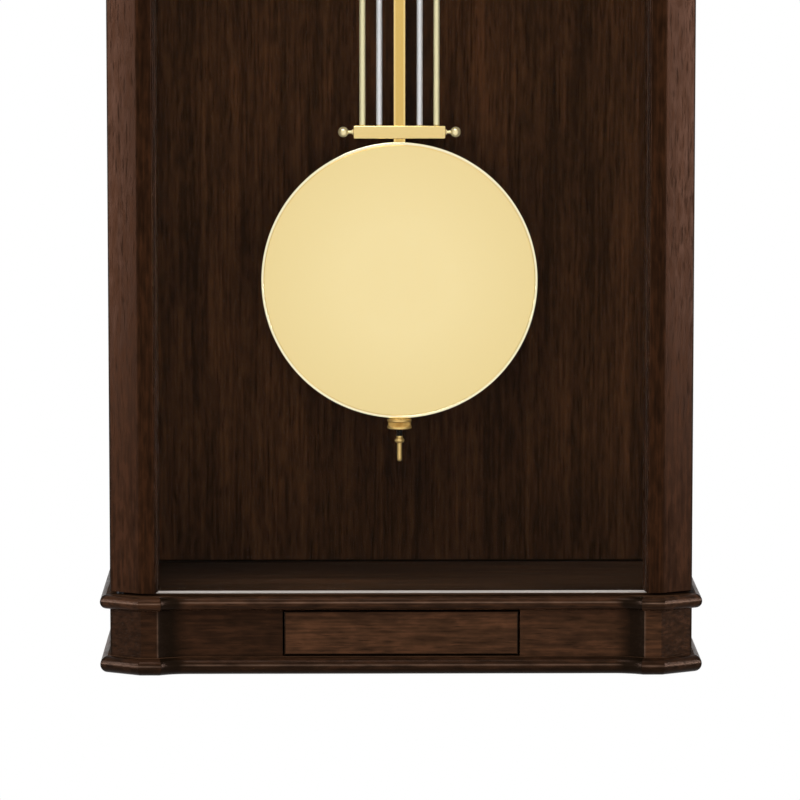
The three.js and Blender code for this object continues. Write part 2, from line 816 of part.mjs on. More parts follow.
// Barrels with great wheel, rear arbor and the square that the key winds
const greatFront = frontPlateRear + wheelPlay;
const greatRear = greatFront + wheelThickness;
for (const [name, x, z] of windingPlaces) {
  const isTime = x === 0;
  const drumRear = backPlateFront - barrelRearGap;
  const drumFront = isTime ? greatRear : frontPlateRear + barrelFrontGap;
  const wheelRear = isTime ? greatRear : drumRear;
  const teeth = isTime ? greatWheelTeeth : sideGreatTeeth;
  addPart(name, 'brass', joined(
    rodY(barrelRadius, drumRear - wheelThickness / 2, drumFront - wheelThickness / 2, x, z, 24),
    gear(teeth, trainModule, upBearing, x, z, wheelRear, wheelRear - wheelThickness),
    rodY(arborRadius, rearEnd, drumFront, x, z, 8),
    box(
      x - windingSquare / 2, x + windingSquare / 2, dialFront + windingRecess, drumRear - wheelThickness,
      z - windingSquare / 2, z + windingSquare / 2,
    ),
  ));
}

// Going train: centre arbor with wheel, pinion and cannon pinion, third wheel, escape wheel
const centreWheelRear = rearEnd - wheelPlay;
const cannonRear = frontPlateFront - fit;
const cannonFront = cannonRear - wheelThickness - 2 * fit;
addPart('centre_wheel', 'brass', joined(
  rodY(centreArborRadius, rearEnd, handNutFront, 0, 0),
  gear(
    centreWheelTeeth, centreWheelModule, thirdTurn, 0, 0, centreWheelRear, centreWheelRear - wheelThickness,
  ),
  gear(
    centrePinionTeeth, trainModule, meshing(upBearing, centrePinionTeeth), 0, 0,
    greatRear + fit, greatFront - fit,
  ),
  gear(cannonTeeth, motionModule, motionTurn, 0, 0, cannonRear, cannonFront),
));
const thirdWheelRear = backPlateFront - thirdWheelBehind;
addPart('third_wheel', 'brass', joined(
  rodY(arborRadius, rearEnd, frontEnd, thirdX, thirdZ, 8),
  gear(
    thirdPinionTeeth, centreWheelModule, meshing(thirdTurn, thirdPinionTeeth), thirdX, thirdZ,
    centreWheelRear + fit, centreWheelRear - pinionLength,
  ),
  gear(
    thirdWheelTeeth, thirdWheelModule, escapeTurn, thirdX, thirdZ,
    thirdWheelRear, thirdWheelRear - wheelThickness,
  ),
));

// Escape wheel outline: pointed teeth, steep on one side and sloping on the other.
function escapeShape() {
  const pitch = Math.PI * 2 / escapeTeeth;
  const root = escapeRadius - escapeToothDepth;
  const points = [];
  for (let i = 0; i < escapeTeeth; i += 1) {
    for (const [turn, radius] of [[0, escapeRadius], [0.2, root], [0.7, root]]) {
      const angle = (i + turn) * pitch;
      points.push([radius * Math.cos(angle), escapeZ + radius * Math.sin(angle)]);
    }
  }
  return shapeOf(points);
}

const escapeRear = backPlateFront - escapeBehind;
const escapeFront = escapeRear - wheelThickness;
addPart('escape_wheel', 'brass', joined(
  rodY(arborRadius, rearEnd, frontEnd, 0, escapeZ, 8),
  gear(
    escapePinionTeeth, thirdWheelModule, meshing(escapeTurn, escapePinionTeeth), 0, escapeZ,
    thirdWheelRear + fit, thirdWheelRear - pinionLength,
  ),
  forward(escapeShape(), escapeRear, escapeFront),
));

// Anchor: arch over the escape wheel, arbor through the back plate, crutch with a fork round the pendulum
function anchorArch() {
  const inner = escapeRadius + palletDrop;
  const spread = THREE.MathUtils.degToRad(archSpread);
  const arch = new THREE.Shape();
  arch.absarc(0, escapeZ, inner + archWidth, upBearing - spread, upBearing + spread);
  arch.absarc(0, escapeZ, inner, upBearing + spread, upBearing - spread, true);
  return arch;
}

const crutchY = backPlateRear + crutchBehind;
const forkZ = pivotZ - crutchLength;
const forkHalf = barWidth / 2 + fit;
const archRear = (escapeRear + escapeFront + anchorThickness) / 2;
const prongs = [-1, 1].map((side) => box(
  side * forkHalf, side * (forkHalf + forkProng), crutchY - crutchRadius, pendulumY + barThickness,
  forkZ - forkProng, forkZ + forkProng,
));
addPart('anchor_with_crutch', 'steel', joined(
  rodY(arborRadius, crutchY + crutchRadius, frontEnd, 0, pivotZ, 12),
  forward(circleShape(anchorHubRadius, 0, pivotZ), archRear, archRear - anchorThickness),
  forward(anchorArch(), archRear, archRear - anchorThickness),
  rodZ(crutchRadius, forkZ, pivotZ, 0, crutchY, 10),
  box(
    -forkHalf - forkProng, forkHalf + forkProng, crutchY - crutchRadius, crutchY + crutchRadius,
    forkZ - forkProng, forkZ + forkProng,
  ),
  ...prongs,
));

// Motion work in front of the front plate: minute wheel with pinion, hour wheel with its pipe
const hourWheelRear = cannonFront - fit;
const hourWheelFront = hourWheelRear - wheelThickness;
addPart('minute_wheel', 'brass', joined(
  rodY(arborRadius, cannonRear, hourWheelFront - fit, minuteX, minuteZ, 12),
  gear(
    minuteWheelTeeth, motionModule, meshing(motionTurn, minuteWheelTeeth), minuteX, minuteZ,
    cannonRear - fit, cannonRear - fit - wheelThickness,
  ),
  gear(
    minutePinionTeeth, hourModule, motionTurn + Math.PI, minuteX, minuteZ,
    cannonRear - fit, hourWheelFront - fit,
  ),
));
addPart('hour_wheel', 'brass', cut(
  joined(
    gear(
      hourWheelTeeth, hourModule, motionTurn + Math.PI / hourWheelTeeth, 0, 0,
      hourWheelRear, hourWheelFront,
    ),
    rodY(pipeRadius, hourWheelRear, hourHandFront, 0, 0),
  ),
  rodY(centreArborRadius + runningFit, hourWheelRear + overcut, hourHandFront - overcut, 0, 0),
));

// Chime: cast block on the back panel with four hanging rods
const chimeRodY = -(backThickness + chimeRodStandoff);
const chimeLastAcross = chimeFirstAcross + (chimeCount - 1) * chimePitch;
const chimeAcross = Array.from({ length: chimeCount }, (_, i) => chimeFirstAcross + i * chimePitch);
addPart('chime_rods_on_block', 'iron', joined(
  box(
    chimeFirstAcross - chimeBlockMargin, chimeLastAcross + chimeBlockMargin,
    -backThickness - chimeBlockDepth, -backThickness, chimeBlockLift, chimeBlockLift + chimeBlockHeight,
  ),
  ...chimeAcross.map((x, i) => rodZ(
    chimeRodRadius, chimeBlockLift - chimeRodLength + i * chimeRodStep, chimeBlockLift + overcut,
    x, chimeRodY, 10,
  )),
));

// Chime: bracket on the seat board that carries the hammer shaft and the chime drum
const hammerShaftY = backPlateRear - hammerShaftForward;
const hammerShaftZ = seatTop + hammerShaftRise;
const drumY = hammerShaftY - drumForward;
const drumZ = hammerShaftZ + drumRise;
const cheekInner = chimeFirstAcross - cheekMargin;
const cheekOuter = chimeLastAcross + cheekMargin;
const cheekShape = shapeOf([
  [hammerShaftY + cheekBorder, seatTop],
  [hammerShaftY + cheekBorder, hammerShaftZ + cheekBorder],
  [drumY, drumZ + cheekBorder],
  [drumY - cheekBorder, drumZ + cheekBorder],
  [drumY - cheekBorder, seatTop],
]);
cheekShape.holes.push(circleShape(arborRadius + runningFit, drumY, drumZ));
addPart('hammer_rail', 'steel', joined(
  sideways(cheekShape, cheekInner - cheekThickness, cheekInner),
  sideways(cheekShape, cheekOuter, cheekOuter + cheekThickness),
  box(
    cheekInner - cheekThickness, cheekOuter + cheekThickness, drumY - cheekBorder, hammerShaftY + cheekBorder,
    seatTop, seatTop + railFootThickness,
  ),
  rodX(
    arborRadius, cheekInner - cheekThickness / 2, cheekOuter + cheekThickness / 2, hammerShaftY, hammerShaftZ,
  ),
));

// Straight bar of even width between two points of a section.
function barShape([y0, z0], [y1, z1], width) {
  const along = new THREE.Vector2(y1 - y0, z1 - z0).normalize().multiplyScalar(width / 2);
  return shapeOf([
    [y0 - along.y, z0 + along.x], [y0 + along.y, z0 - along.x],
    [y1 + along.y, z1 - along.x], [y1 - along.y, z1 + along.x],
  ]);
}

function hammer(x) {
  const headRear = chimeRodY - chimeRodRadius - hammerRest;
  const headZ = hammerShaftZ + hammerRise;
  const [x0, x1] = [x - hammerThickness / 2, x + hammerThickness / 2];
  const hub = [hammerShaftY, hammerShaftZ];
  return cut(
    joined(
      rodX(hammerHubRadius, x0, x1, ...hub, 12),
      sideways(barShape(hub, [headRear - hammerHeadLength / 2, headZ], hammerArmWidth), x0, x1),
      sideways(barShape(hub, [hammerShaftY - hammerTail, hammerShaftZ], hammerArmWidth), x0, x1),
      rodY(hammerHeadRadius, headRear - hammerHeadLength, headRear, x, headZ, 12),
    ),
    rodX(arborRadius + fit, x0 - overcut, x1 + overcut, ...hub, 12),
  );
}

chimeAcross.forEach((x, i) => addPart(`hammer_${i + 1}`, 'steel', hammer(x)));

// Chime drum: one lobed disc for each hammer on a common core, each turned on a little from the last
const lobeStep = Math.PI * 2 / drumLobes / chimeCount;
addPart('chime_drum', 'brass', joined(
  rodX(arborRadius, cheekInner - cheekThickness, cheekOuter + cheekThickness, drumY, drumZ, 12),
  rodX(drumCoreRadius, cheekInner + fit, cheekOuter - fit, drumY, drumZ, 12),
  ...chimeAcross.map((x, i) => sideways(
    toothed(drumLobes, drumRadius, drumRadius + drumLobeHeight, i * lobeStep, drumY, drumZ),
    x - hammerThickness / 2, x + hammerThickness / 2,
  )),
));

// Pendulum: suspension cock on the back plate, spring, bar with threaded tip, gridiron frame, bob, nut
const chopBottom = pivotZ + cockRise + fit;
const chopTop = chopBottom + chopHeight;
const springHalf = springWidth / 2;
addPart('suspension_cock', 'brass', cut(
  box(
    -cockWidth / 2, cockWidth / 2, backPlateRear, pendulumY + cockReach,
    pivotZ + cockRise, pivotZ + cockRise + cockHeight,
  ),
  box(
    -chopThickness / 2 - fit, chopThickness / 2 + fit,
    pendulumY - springHalf - fit, pendulumY + cockReach + overcut,
    pivotZ + cockRise - overcut, chopTop + fit,
  ),
));
const springBottom = pivotZ - springLength;
const barTop = springBottom - chopHeight - fit;
addPart('suspension_spring', 'steel', joined(
  box(
    -springThickness / 2, springThickness / 2, pendulumY - springHalf, pendulumY + springHalf,
    springBottom - chopHeight / 2, chopBottom + chopHeight / 2,
  ),
  box(
    -chopThickness / 2, chopThickness / 2, pendulumY - springHalf, pendulumY + springHalf,
    chopBottom, chopTop,
  ),
  box(
    -chopThickness, chopThickness, pendulumY - springHalf, pendulumY + springHalf,
    springBottom - chopHeight, springBottom,
  ),
));
const bobRadius = bobDiameter / 2;
const bobBottom = bobZ - bobRadius;
const nutTop = bobBottom - fit;
const nutBottom = nutTop - nutHeight;
const collarTop = nutBottom - threadLength;
const collarBottom = collarTop - collarHeight;
const barBottom = bobBottom + 2 * bobRimRadius;
addPart('pendulum_bar', 'brass', joined(
  box(
    -barWidth / 2, barWidth / 2, pendulumY - barThickness / 2, pendulumY + barThickness / 2,
    barBottom, barTop,
  ),
  rodZ(threadRadius, collarTop - overcut, barBottom + overcut, 0, pendulumY, 12),
  rodZ(collarRadius, collarBottom, collarTop, 0, pendulumY, 20),
  rodZ(tipRadius, collarBottom - tipLength, collarBottom + overcut, 0, pendulumY, 12),
));

// Crossbar with a slot for the centre bar and a ball finial on a neck at each end
function crossbar(z) {
  const end = crossbarWidth / 2;
  const ball = end + finialNeck + finialRadius - overcut / 2;
  const ends = [-1, 1].flatMap((side) => [
    rodX(finialNeckRadius, side * (end - overcut), side * ball, pendulumY, z, 8),
    new THREE.SphereGeometry(finialRadius, 12, 8).translate(side * ball, pendulumY, z),
  ]);
  const beam = box(
    -end, end, pendulumY - crossbarDepth / 2, pendulumY + crossbarDepth / 2,
    z - crossbarHeight / 2, z + crossbarHeight / 2,
  );
  const slot = box(
    -barWidth / 2 - fit, barWidth / 2 + fit,
    pendulumY - barThickness / 2 - fit, pendulumY + barThickness / 2 + fit,
    z - crossbarHeight, z + crossbarHeight,
  );
  return cut(joined(beam, ...ends), slot);
}

const lowerCrossbarZ = bobZ + crossbarRise;
const upperCrossbarZ = seatTop - seatThickness - upperCrossbarBelowSeat - crossbarHeight / 2;
addPart('lower_crossbar', 'brass', crossbar(lowerCrossbarZ));
addPart('upper_crossbar', 'brass', crossbar(upperCrossbarZ));
const gridRods = [
  ['outer_rod_left', 'brass', -outerRodAcross],
  ['inner_rod_left', 'steel', -innerRodAcross],
  ['inner_rod_right', 'steel', innerRodAcross],
  ['outer_rod_right', 'brass', outerRodAcross],
];
for (const [name, finish, x] of gridRods) {
  addPart(name, finish, rodZ(
    rodRadius, lowerCrossbarZ + crossbarHeight / 2, upperCrossbarZ - crossbarHeight / 2, x, pendulumY,
  ));
}

// Bob: shallow dome inside a groove and a rolled rim, with a channel behind it that slides on the bar
function bobProfile(rimSteps = 6, domeSteps = 4) {
  const back = pendulumY + bobBack;
  const rimY = back - bobRimDepth;
  const rimCentre = bobRadius - bobRimRadius;
  const faceRadius = rimCentre - bobRimRadius - bobGroove;
  const points = [[0, back], [bobRadius, back]];
  for (let i = 0; i <= rimSteps; i += 1) {
    const turn = -(i / rimSteps) * Math.PI;
    points.push([rimCentre + bobRimRadius * Math.cos(turn), rimY + bobRimRadius * Math.sin(turn)]);
  }
  for (let i = domeSteps; i >= 0; i -= 1) {
    const share = i / domeSteps;
    points.push([faceRadius * share, rimY - bobGroove - bobDome * (1 - share * share)]);
  }
  return points;
}

const channelDepth = Math.max(barThickness / 2, threadRadius) + fit;
addPart('bob', 'satinBrass', cut(
  turned(bobProfile(), 48).translate(0, 0, bobZ),
  box(
    -barWidth / 2 - fit, barWidth / 2 + fit, pendulumY - channelDepth, pendulumY + bobBack + overcut,
    bobBottom - overcut, bobZ + bobRadius + overcut,
  ),
));
const nutBore = threadRadius + fit;
const nutWaist = nutRadius - nutGroove;
const nutRimEnd = nutChamfer + nutRim;
const nutWaistEnd = nutRimEnd + nutGroove;
addPart('rating_nut', 'brass', turned([
  [nutBore, nutBottom],
  [nutRadius - nutChamfer, nutBottom],
  [nutRadius, nutBottom + nutChamfer],
  [nutRadius, nutBottom + nutRimEnd],
  [nutWaist, nutBottom + nutWaistEnd],
  [nutWaist, nutTop - nutWaistEnd],
  [nutRadius, nutTop - nutRimEnd],
  [nutRadius, nutTop - nutChamfer],
  [nutRadius - nutChamfer, nutTop],
  [nutBore, nutTop],
  [nutBore, nutBottom],
], 24).rotateX(Math.PI / 2).translate(0, pendulumY, 0));

export default clock;
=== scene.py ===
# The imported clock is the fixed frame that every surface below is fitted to.
import math

import bmesh
import bpy
import numpy as np
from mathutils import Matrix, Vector


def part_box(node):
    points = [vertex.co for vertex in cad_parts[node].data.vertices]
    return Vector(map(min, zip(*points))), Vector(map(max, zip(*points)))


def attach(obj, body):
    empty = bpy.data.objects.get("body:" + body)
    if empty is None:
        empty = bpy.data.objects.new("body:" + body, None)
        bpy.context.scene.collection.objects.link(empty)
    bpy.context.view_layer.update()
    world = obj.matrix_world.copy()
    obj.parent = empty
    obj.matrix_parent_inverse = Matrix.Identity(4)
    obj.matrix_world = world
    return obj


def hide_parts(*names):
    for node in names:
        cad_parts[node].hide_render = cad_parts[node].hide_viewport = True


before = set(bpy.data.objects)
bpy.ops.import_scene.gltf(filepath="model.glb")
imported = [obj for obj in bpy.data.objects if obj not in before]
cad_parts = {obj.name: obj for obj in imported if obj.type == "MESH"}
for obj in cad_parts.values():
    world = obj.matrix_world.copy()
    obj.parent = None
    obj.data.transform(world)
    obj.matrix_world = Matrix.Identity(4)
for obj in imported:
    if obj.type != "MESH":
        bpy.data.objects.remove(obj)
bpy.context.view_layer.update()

# Carcase: back panel, sides, seat board and the frame that the drawer runs in. They are flat boards of
# walnut under a dark stain and satin lacquer, with the grain upright on the panels and level on the rest.


class Value:
    """A shader socket whose arithmetic adds Math nodes to its tree."""

    def __init__(self, tree, socket):
        self.tree = tree
        self.socket = socket

    def math(self, operation, *operands):
        node = self.tree.nodes.new("ShaderNodeMath")
        node.operation = operation
        for socket, operand in zip(node.inputs, operands):
            plug(self.tree, socket, operand)
        return Value(self.tree, node.outputs[0])

    def __add__(self, other):
        return self.math("ADD", self, other)

    def __sub__(self, other):
        return self.math("SUBTRACT", self, other)

    def __mul__(self, other):
        return self.math("MULTIPLY", self, other)

    def __rsub__(self, other):
        return self.math("SUBTRACT", other, self)

    __radd__ = __add__
    __rmul__ = __mul__


def plug(tree, socket, item):
    """Links a Value to a socket, or writes a plain number, colour or vector on it."""
    if isinstance(item, Value):
        tree.links.new(item.socket, socket)
    else:
        socket.default_value = item


class Nodes:
    """A node tree, and the one method that adds to it."""

    def __init__(self, tree):
        self.tree = tree

    def node(self, kind, settings=None, inputs=None, output=0):
        """Adds a node, applies its settings and then fills its sockets; a ramp's stops are a setting."""
        node = self.tree.nodes.new("ShaderNode" + kind)
        for name, setting in (settings or {}).items():
            if name == "stops":
                ramp = node.color_ramp.elements
                while len(ramp) < len(setting):
                    ramp.new(1.0)
                for stop, (place, colour) in zip(ramp, setting):
                    stop.position = place
                    stop.color = (*colour, 1)
            else:
                setattr(node, name, setting)
        for name, item in (inputs or {}).items():
            plug(self.tree, node.inputs[name], item)
        return Value(self.tree, node.outputs[output])


class Finish(Nodes):
    """A material with its node tree and its shader."""

    def __init__(self, name):
        self.material = bpy.data.materials.new(name)
        self.material.use_nodes = True
        super().__init__(self.material.node_tree)
        self.shader = self.tree.nodes["Principled BSDF"]

    def mix(self, factor, first, second):
        """Blends two colours by a factor."""
        return self.node("Mix", {"data_type": "RGBA"}, {0: factor, 6: first, 7: second}, output=2)

    def set(self, **sockets):
        """Fills the shader's sockets; underscores in the names stand for spaces."""
        for name, item in sockets.items():
            plug(self.tree, self.shader.inputs[name.replace("_", " ")], item)
        return self


ALONG_X, ALONG_Y, ALONG_Z = range(3)
# Near black for the pores and for painted shade, the paler brown of a painted highlight, and the pale
# colour of a painted glint.
PORE_AND_SHADE_BLACK = (0.0035, 0.0020, 0.0010, 1)
HIGHLIGHT_BROWN = (0.100, 0.062, 0.043, 1)
GLINT_PALE = (0.420, 0.340, 0.270, 1)
DARK_SHADE = np.array([0.50, 0.52, 0.55])
LIGHT_SHADE = np.array([1.90, 1.75, 1.65])
# How far painted shade covers the wood where its weight is full.
SHADE_COVER = 0.95
SEAM_FADE = 0.0006
WARM_SHEEN = (1.0, 0.60, 0.44, 1)
RED_SHEEN = (1.0, 0.43, 0.25, 1)


def walnut(name, grain, stain, roughness, mottle=0.2, sheen=0.04, relief=0.2, spread=0.10, seam=None):
    """Stained walnut. Noises drawn out along the grain give broad bands, streaks, fibres and short flecks.
    Their weighted sum runs from half the stain to nearly twice, over the spread about its middle, and finer
    noise past a threshold cuts dark pores. Painted shade lies dark where its attribute says, or along a
    seam's level. A painted highlight makes edges paler where its attribute says, and shows as a pale
    painted glint where it passes one."""
    finish = Finish(name)
    place = finish.node("TexCoord", output="Object")

    def figure(along, across, detail=2.0, distortion=0.0):
        scale = [across] * 3
        scale[grain] = along
        drawn = finish.node("Mapping", inputs={"Vector": place, "Scale": scale})
        settings = {"Vector": drawn, "Scale": 1.0, "Detail": detail, "Distortion": distortion}
        return finish.node("TexNoise", inputs=settings)

    bands = figure(1.6, 24.0)
    streaks = figure(7.0, 130.0, 3.0, 0.6)
    fibres = figure(28.0, 700.0)
    flecks = figure(95.0, 330.0)
    tone = 0.28 * bands + (0.44 - mottle) * streaks + 0.28 * fibres + mottle * flecks
    stops = [(0.5 - 0.9 * spread, DARK_SHADE * stain), (0.5, stain), (0.5 + spread, LIGHT_SHADE * stain)]
    colour = finish.node("ValToRGB", {"stops": stops}, {"Fac": tone})
    grit = figure(75.0, 900.0)
    pores = finish.node("MapRange", inputs={"Value": grit, "From Min": 0.58, "From Max": 0.70})
    worn = finish.mix(0.55 * pores, colour, PORE_AND_SHADE_BLACK)
    # Painted shade: a weight from the attribute, or a band just above a seam, mixes the colour towards near
    # black.
    glaze = finish.node("Attribute", {"attribute_name": "glaze"}, output="Fac")
    if seam is not None:
        height = finish.node("SeparateXYZ", inputs={"Vector": place}, output="Z")
        fade = {"From Min": seam, "From Max": seam + SEAM_FADE, "To Min": 1.0, "To Max": 0.0}
        glaze = finish.node("MapRange", inputs={"Value": height, **fade})
    # Painted highlight: its weight pales the colour, and where it passes one it shows a pale painted glint.
    rub = finish.node("Attribute", {"attribute_name": "rub"}, output="Fac")
    highlighted = finish.mix(rub * (1.3 * flecks), worn, HIGHLIGHT_BROWN)
    glinted = finish.mix(rub - 1.0, highlighted, GLINT_PALE)
    finish.set(Base_Color=finish.mix(SHADE_COVER * glaze, glinted, PORE_AND_SHADE_BLACK))
    finish.set(Roughness=roughness + 0.15 * pores + 0.10 * (fibres - 0.5) + 1.2 * mottle * (flecks - 0.5))
    dents = {"Strength": relief, "Distance": 0.0002, "Height": 0.3 * fibres - pores}
    finish.set(Normal=finish.node("Bump", inputs=dents))
    finish.set(Specular_IOR_Level=sheen, Specular_Tint=WARM_SHEEN)
    return finish


def dress(finish, *nodes):
    """Puts a finish on solids that are shown as they are."""
    for node in nodes:
        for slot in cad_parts[node].material_slots:
            slot.material = finish.material


panel_stain = np.array([0.0460, 0.0187, 0.0075])
case_stain = np.array([0.0105, 0.0042, 0.0018])
base_stain = np.array([0.0190, 0.0084, 0.0041])
floor_stain = np.array([0.0260, 0.0130, 0.0068])
joint_height = 0.0012
floor_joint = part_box("base_shelf")[1].z + joint_height
# The back panel darkens in a band just above its joint with the floor: painted shade in the joint.
back_walnut = walnut("back_walnut_upright", ALONG_Z, panel_stain, 0.50, sheen=0.015, seam=floor_joint)
level_back_walnut = walnut("back_walnut_level", ALONG_X, panel_stain, 0.55)
upright_walnut = walnut("walnut_upright", ALONG_Z, case_stain, 0.25, mottle=0.30, sheen=0.055, relief=0.12)
upright_walnut.set(Specular_Tint=RED_SHEEN)
level_walnut = walnut("walnut_level", ALONG_X, 0.8 * base_stain, 0.22, mottle=0.30, sheen=0.05)
plinth_walnut = walnut("walnut_plinth", ALONG_X, 0.5 * base_stain, 0.22, mottle=0.30, sheen=0.05)
side_walnut = walnut("walnut_side_run", ALONG_Y, base_stain, 0.36)
floor_walnut = walnut("walnut_case_floor", ALONG_X, floor_stain, 0.60, mottle=0.1, sheen=0.01, relief=0.0)
dress(back_walnut, "back_panel")
dress(upright_walnut, "left_side_panel", "right_side_panel", "dial_board")
dress(level_back_walnut, "seat_board", "drawer_runner_frame", "drawer_tray")

# Base and cornice mouldings: four boards with a half-round nose that runs round the side, the canted
# corner, the small front block and the hollow sweep. They are planed from solid walnut and glued on.
half_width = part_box("right_side_panel")[1].x
case_depth = -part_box("door_right_stile")[0].y
nose_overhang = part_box("base_shelf")[1].x - half_width
cant_width = 0.0183
cant_depth = 0.011
block_width = 0.010
sweep_width = 0.017
sweep_depth = 0.005
block_inner = half_width - cant_width - block_width
sweep_end = block_inner - sweep_width
cant_start = -(case_depth - cant_depth)
arris = 0.0006
# A plan point beside the front block's inner corner, for the painted glint there.
glint_width = 0.0012
end_width = 0.0018
hollow_turn = 0.35
under_turn = 0.5
corner_turn = (0.55, 0.995)
level_turn = 0.99
crest_rise = 10.0
crest_spread = 4.5
glint_spread = 0.0009
CREASE = math.radians(38)
WELD = 1e-7
SHORT_EDGE = 0.45


def eased(corners, radius, steps=5):
    """Rounds the corners of a closed outline. Each corner becomes a parabola that touches both its edges
    where a round of that radius would, or nearer where an edge is short."""
    corners = np.asarray(corners, float)
    back = np.roll(corners, 1, axis=0) - corners
    ahead = np.roll(corners, -1, axis=0) - corners
    back_length = np.linalg.norm(back, axis=1, keepdims=True)
    ahead_length = np.linalg.norm(ahead, axis=1, keepdims=True)
    cosine = np.sum(back * ahead, axis=1, keepdims=True) / (back_length * ahead_length)
    half_angle = np.arccos(np.clip(cosine, -1, 1)) / 2
    reach = np.minimum(radius / np.tan(half_angle), SHORT_EDGE * np.minimum(back_length, ahead_length))
    first = (corners + back / back_length * reach)[:, None]
    last = (corners + ahead / ahead_length * reach)[:, None]
    t = np.linspace(0, 1, steps)[None, :, None]
    curve = (1 - t) ** 2 * first + 2 * t * (1 - t) * corners[:, None] + t ** 2 * last
    return curve.reshape(-1, corners.shape[1])


def skin(rows, caps=True):
    """Points and faces of a surface through rows of points. Row i and place j make a quad with the next
    row and the next place, and the last place joins the first. Caps close its two ends."""
    rows = np.asarray(rows, float)
    count, places, _ = rows.shape
    i, j = np.meshgrid(np.arange(count - 1), np.arange(places), indexing="ij")
    k = (j + 1) % places
    corners = [i * places + j, i * places + k, (i + 1) * places + k, (i + 1) * places + j]
    faces = np.stack(corners, axis=-1).reshape(-1, 4).tolist()
    if caps:
        faces.append(list(range(places)))
        faces.append(list(range((count - 1) * places, count * places)))
    return rows.reshape(-1, 3), faces


def piece_of(name, *skins):
    """One object from one or more closed skins, with its doubled points welded and its faces turned out."""
    starts = np.cumsum([0] + [len(points) for points, _ in skins])
    groups = zip(starts, [faces for _, faces in skins])
    faces = [[start + corner for corner in face] for start, group in groups for face in group]
    mesh = bpy.data.meshes.new(name)
    mesh.from_pydata(np.vstack([points for points, _ in skins]).tolist(), [], faces)
    shape = bmesh.new()
    shape.from_mesh(mesh)
    bmesh.ops.remove_doubles(shape, verts=shape.verts, dist=WELD)
    bmesh.ops.recalc_face_normals(shape, faces=shape.faces)
    shape.to_mesh(mesh)
    shape.free()
    mesh.shade_smooth()
    mesh.set_sharp_from_angle(angle=CREASE)
    piece = bpy.data.objects.new(name, mesh)
    bpy.context.scene.collection.objects.link(piece)
    return piece


def fitted(piece, finish, body, slot, *nodes):
    """Gives a piece its finish, seats it on its body and lets it stand for its solids."""
    piece.data.materials.append(finish.material)
    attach(piece, body)
    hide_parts(*nodes)
    return piece


def point_field(piece, source, name):
    """A vector for each point of a piece, read in one go."""
    values = np.empty(3 * len(piece.data.vertices))
    source.foreach_get(name, values)
    return values.reshape(-1, 3)


def painted(piece, name, weight):
    """Writes a weight for each point under an attribute's name."""
    piece.data.attributes.new(name, "FLOAT", "POINT").data.foreach_set("value", weight)


def paint_shade(piece, under_shade):
    """Lays painted shade in the hollows, round the outer corners and under the noses. In a hollow its
    weight follows how far the normal turns towards the middle, as a share of the sweep's steepest turn, and
    under a nose how far it turns down."""
    points = point_field(piece, piece.data.vertices, "co")
    normals = point_field(piece, piece.data.vertex_normals, "vector")
    outwards = np.sign(points[:, 0]) * normals[:, 0]
    in_sweep = (np.abs(points[:, 0]) > sweep_end) & (normals[:, 1] < 0)
    steepest = 2 * sweep_depth / sweep_width
    hollow = np.clip(-outwards / steepest / hollow_turn, 0, 1) * in_sweep
    under = under_shade * np.clip(-normals[:, 2] / under_turn, 0, 1)
    bearing = outwards / np.maximum(np.hypot(normals[:, 0], normals[:, 1]), WELD)
    corner = (bearing > corner_turn[0]) & (bearing < corner_turn[1])
    painted(piece, "glaze", np.maximum.reduce([hollow, under, corner.astype(float)]))


def paint_crest_highlight(piece, wear_and_highlight):
    """Paints a highlight along a nose: the weight is a bell curve of the normal's rise about the crest,
    times its given strength, and passes one for a painted glint where the front block's inner corner stands
    out."""
    points = point_field(piece, piece.data.vertices, "co")
    normals = point_field(piece, piece.data.vertex_normals, "vector")
    rise = np.degrees(np.arcsin(np.clip(normals[:, 2], -1, 1)))
    off_corner = np.abs(points[:, 0]) - block_inner
    crest = np.exp(-((rise - crest_rise) / crest_spread) ** 2)
    painted(piece, "rub", crest * (wear_and_highlight + np.exp(-(off_corner / glint_spread) ** 2)))


def refaced(piece, finish, choose):
    """Gives another finish to the faces that the rule chooses from their normals and centres."""
    count = len(piece.data.polygons)
    normals, centres = np.empty(3 * count), np.empty(3 * count)
    piece.data.polygons.foreach_get("normal", normals)
    piece.data.polygons.foreach_get("center", centres)
    slots = np.zeros(count, dtype=np.int32)
    piece.data.polygons.foreach_get("material_index", slots)
    slots[choose(normals.reshape(-1, 3), centres.reshape(-1, 3))] = len(piece.data.materials)
    piece.data.materials.append(finish.material)
    piece.data.polygons.foreach_set("material_index", slots)


def front_plan(grow):
    """Right half of the case plan from the wall to the sweep's end, moved outwards by grow: straight side,
    cant, front block, then a hollow arc that leaves the block at an angle and runs out along the front."""
    side_mitre = math.tan(math.atan2(cant_width, cant_depth) / 2)
    front_mitre = math.tan(math.atan2(cant_depth, cant_width) / 2)
    front = -(case_depth + grow)
    cant_y = cant_start - grow * side_mitre
    radius = (sweep_width ** 2 + sweep_depth ** 2) / (2 * sweep_depth) - grow
    turn = np.linspace(math.acos(1 - sweep_depth / radius), 0, 15)
    sweep_y = front + sweep_depth - radius * (1 - np.cos(turn))
    sweep = np.column_stack([sweep_end + radius * np.sin(turn), sweep_y])
    straight = [
        [half_width + grow, 0],
        [half_width + grow, cant_y + end_width],
        [half_width + grow, cant_y],
        [half_width + grow - end_width, cant_y - end_width * cant_depth / cant_width],
        [half_width - cant_width + grow * front_mitre, front],
        [block_inner + glint_width, front],
    ]
    return np.vstack([straight, sweep])


def plan_ring(grow, z):
    """The whole plan at one level: the right half, then its mirror image back to the wall."""
    right = front_plan(grow)
    outline = eased(np.vstack([right, (right * [-1, 1])[::-1]]), arris)
    return np.insert(outline, 2, z, axis=1)


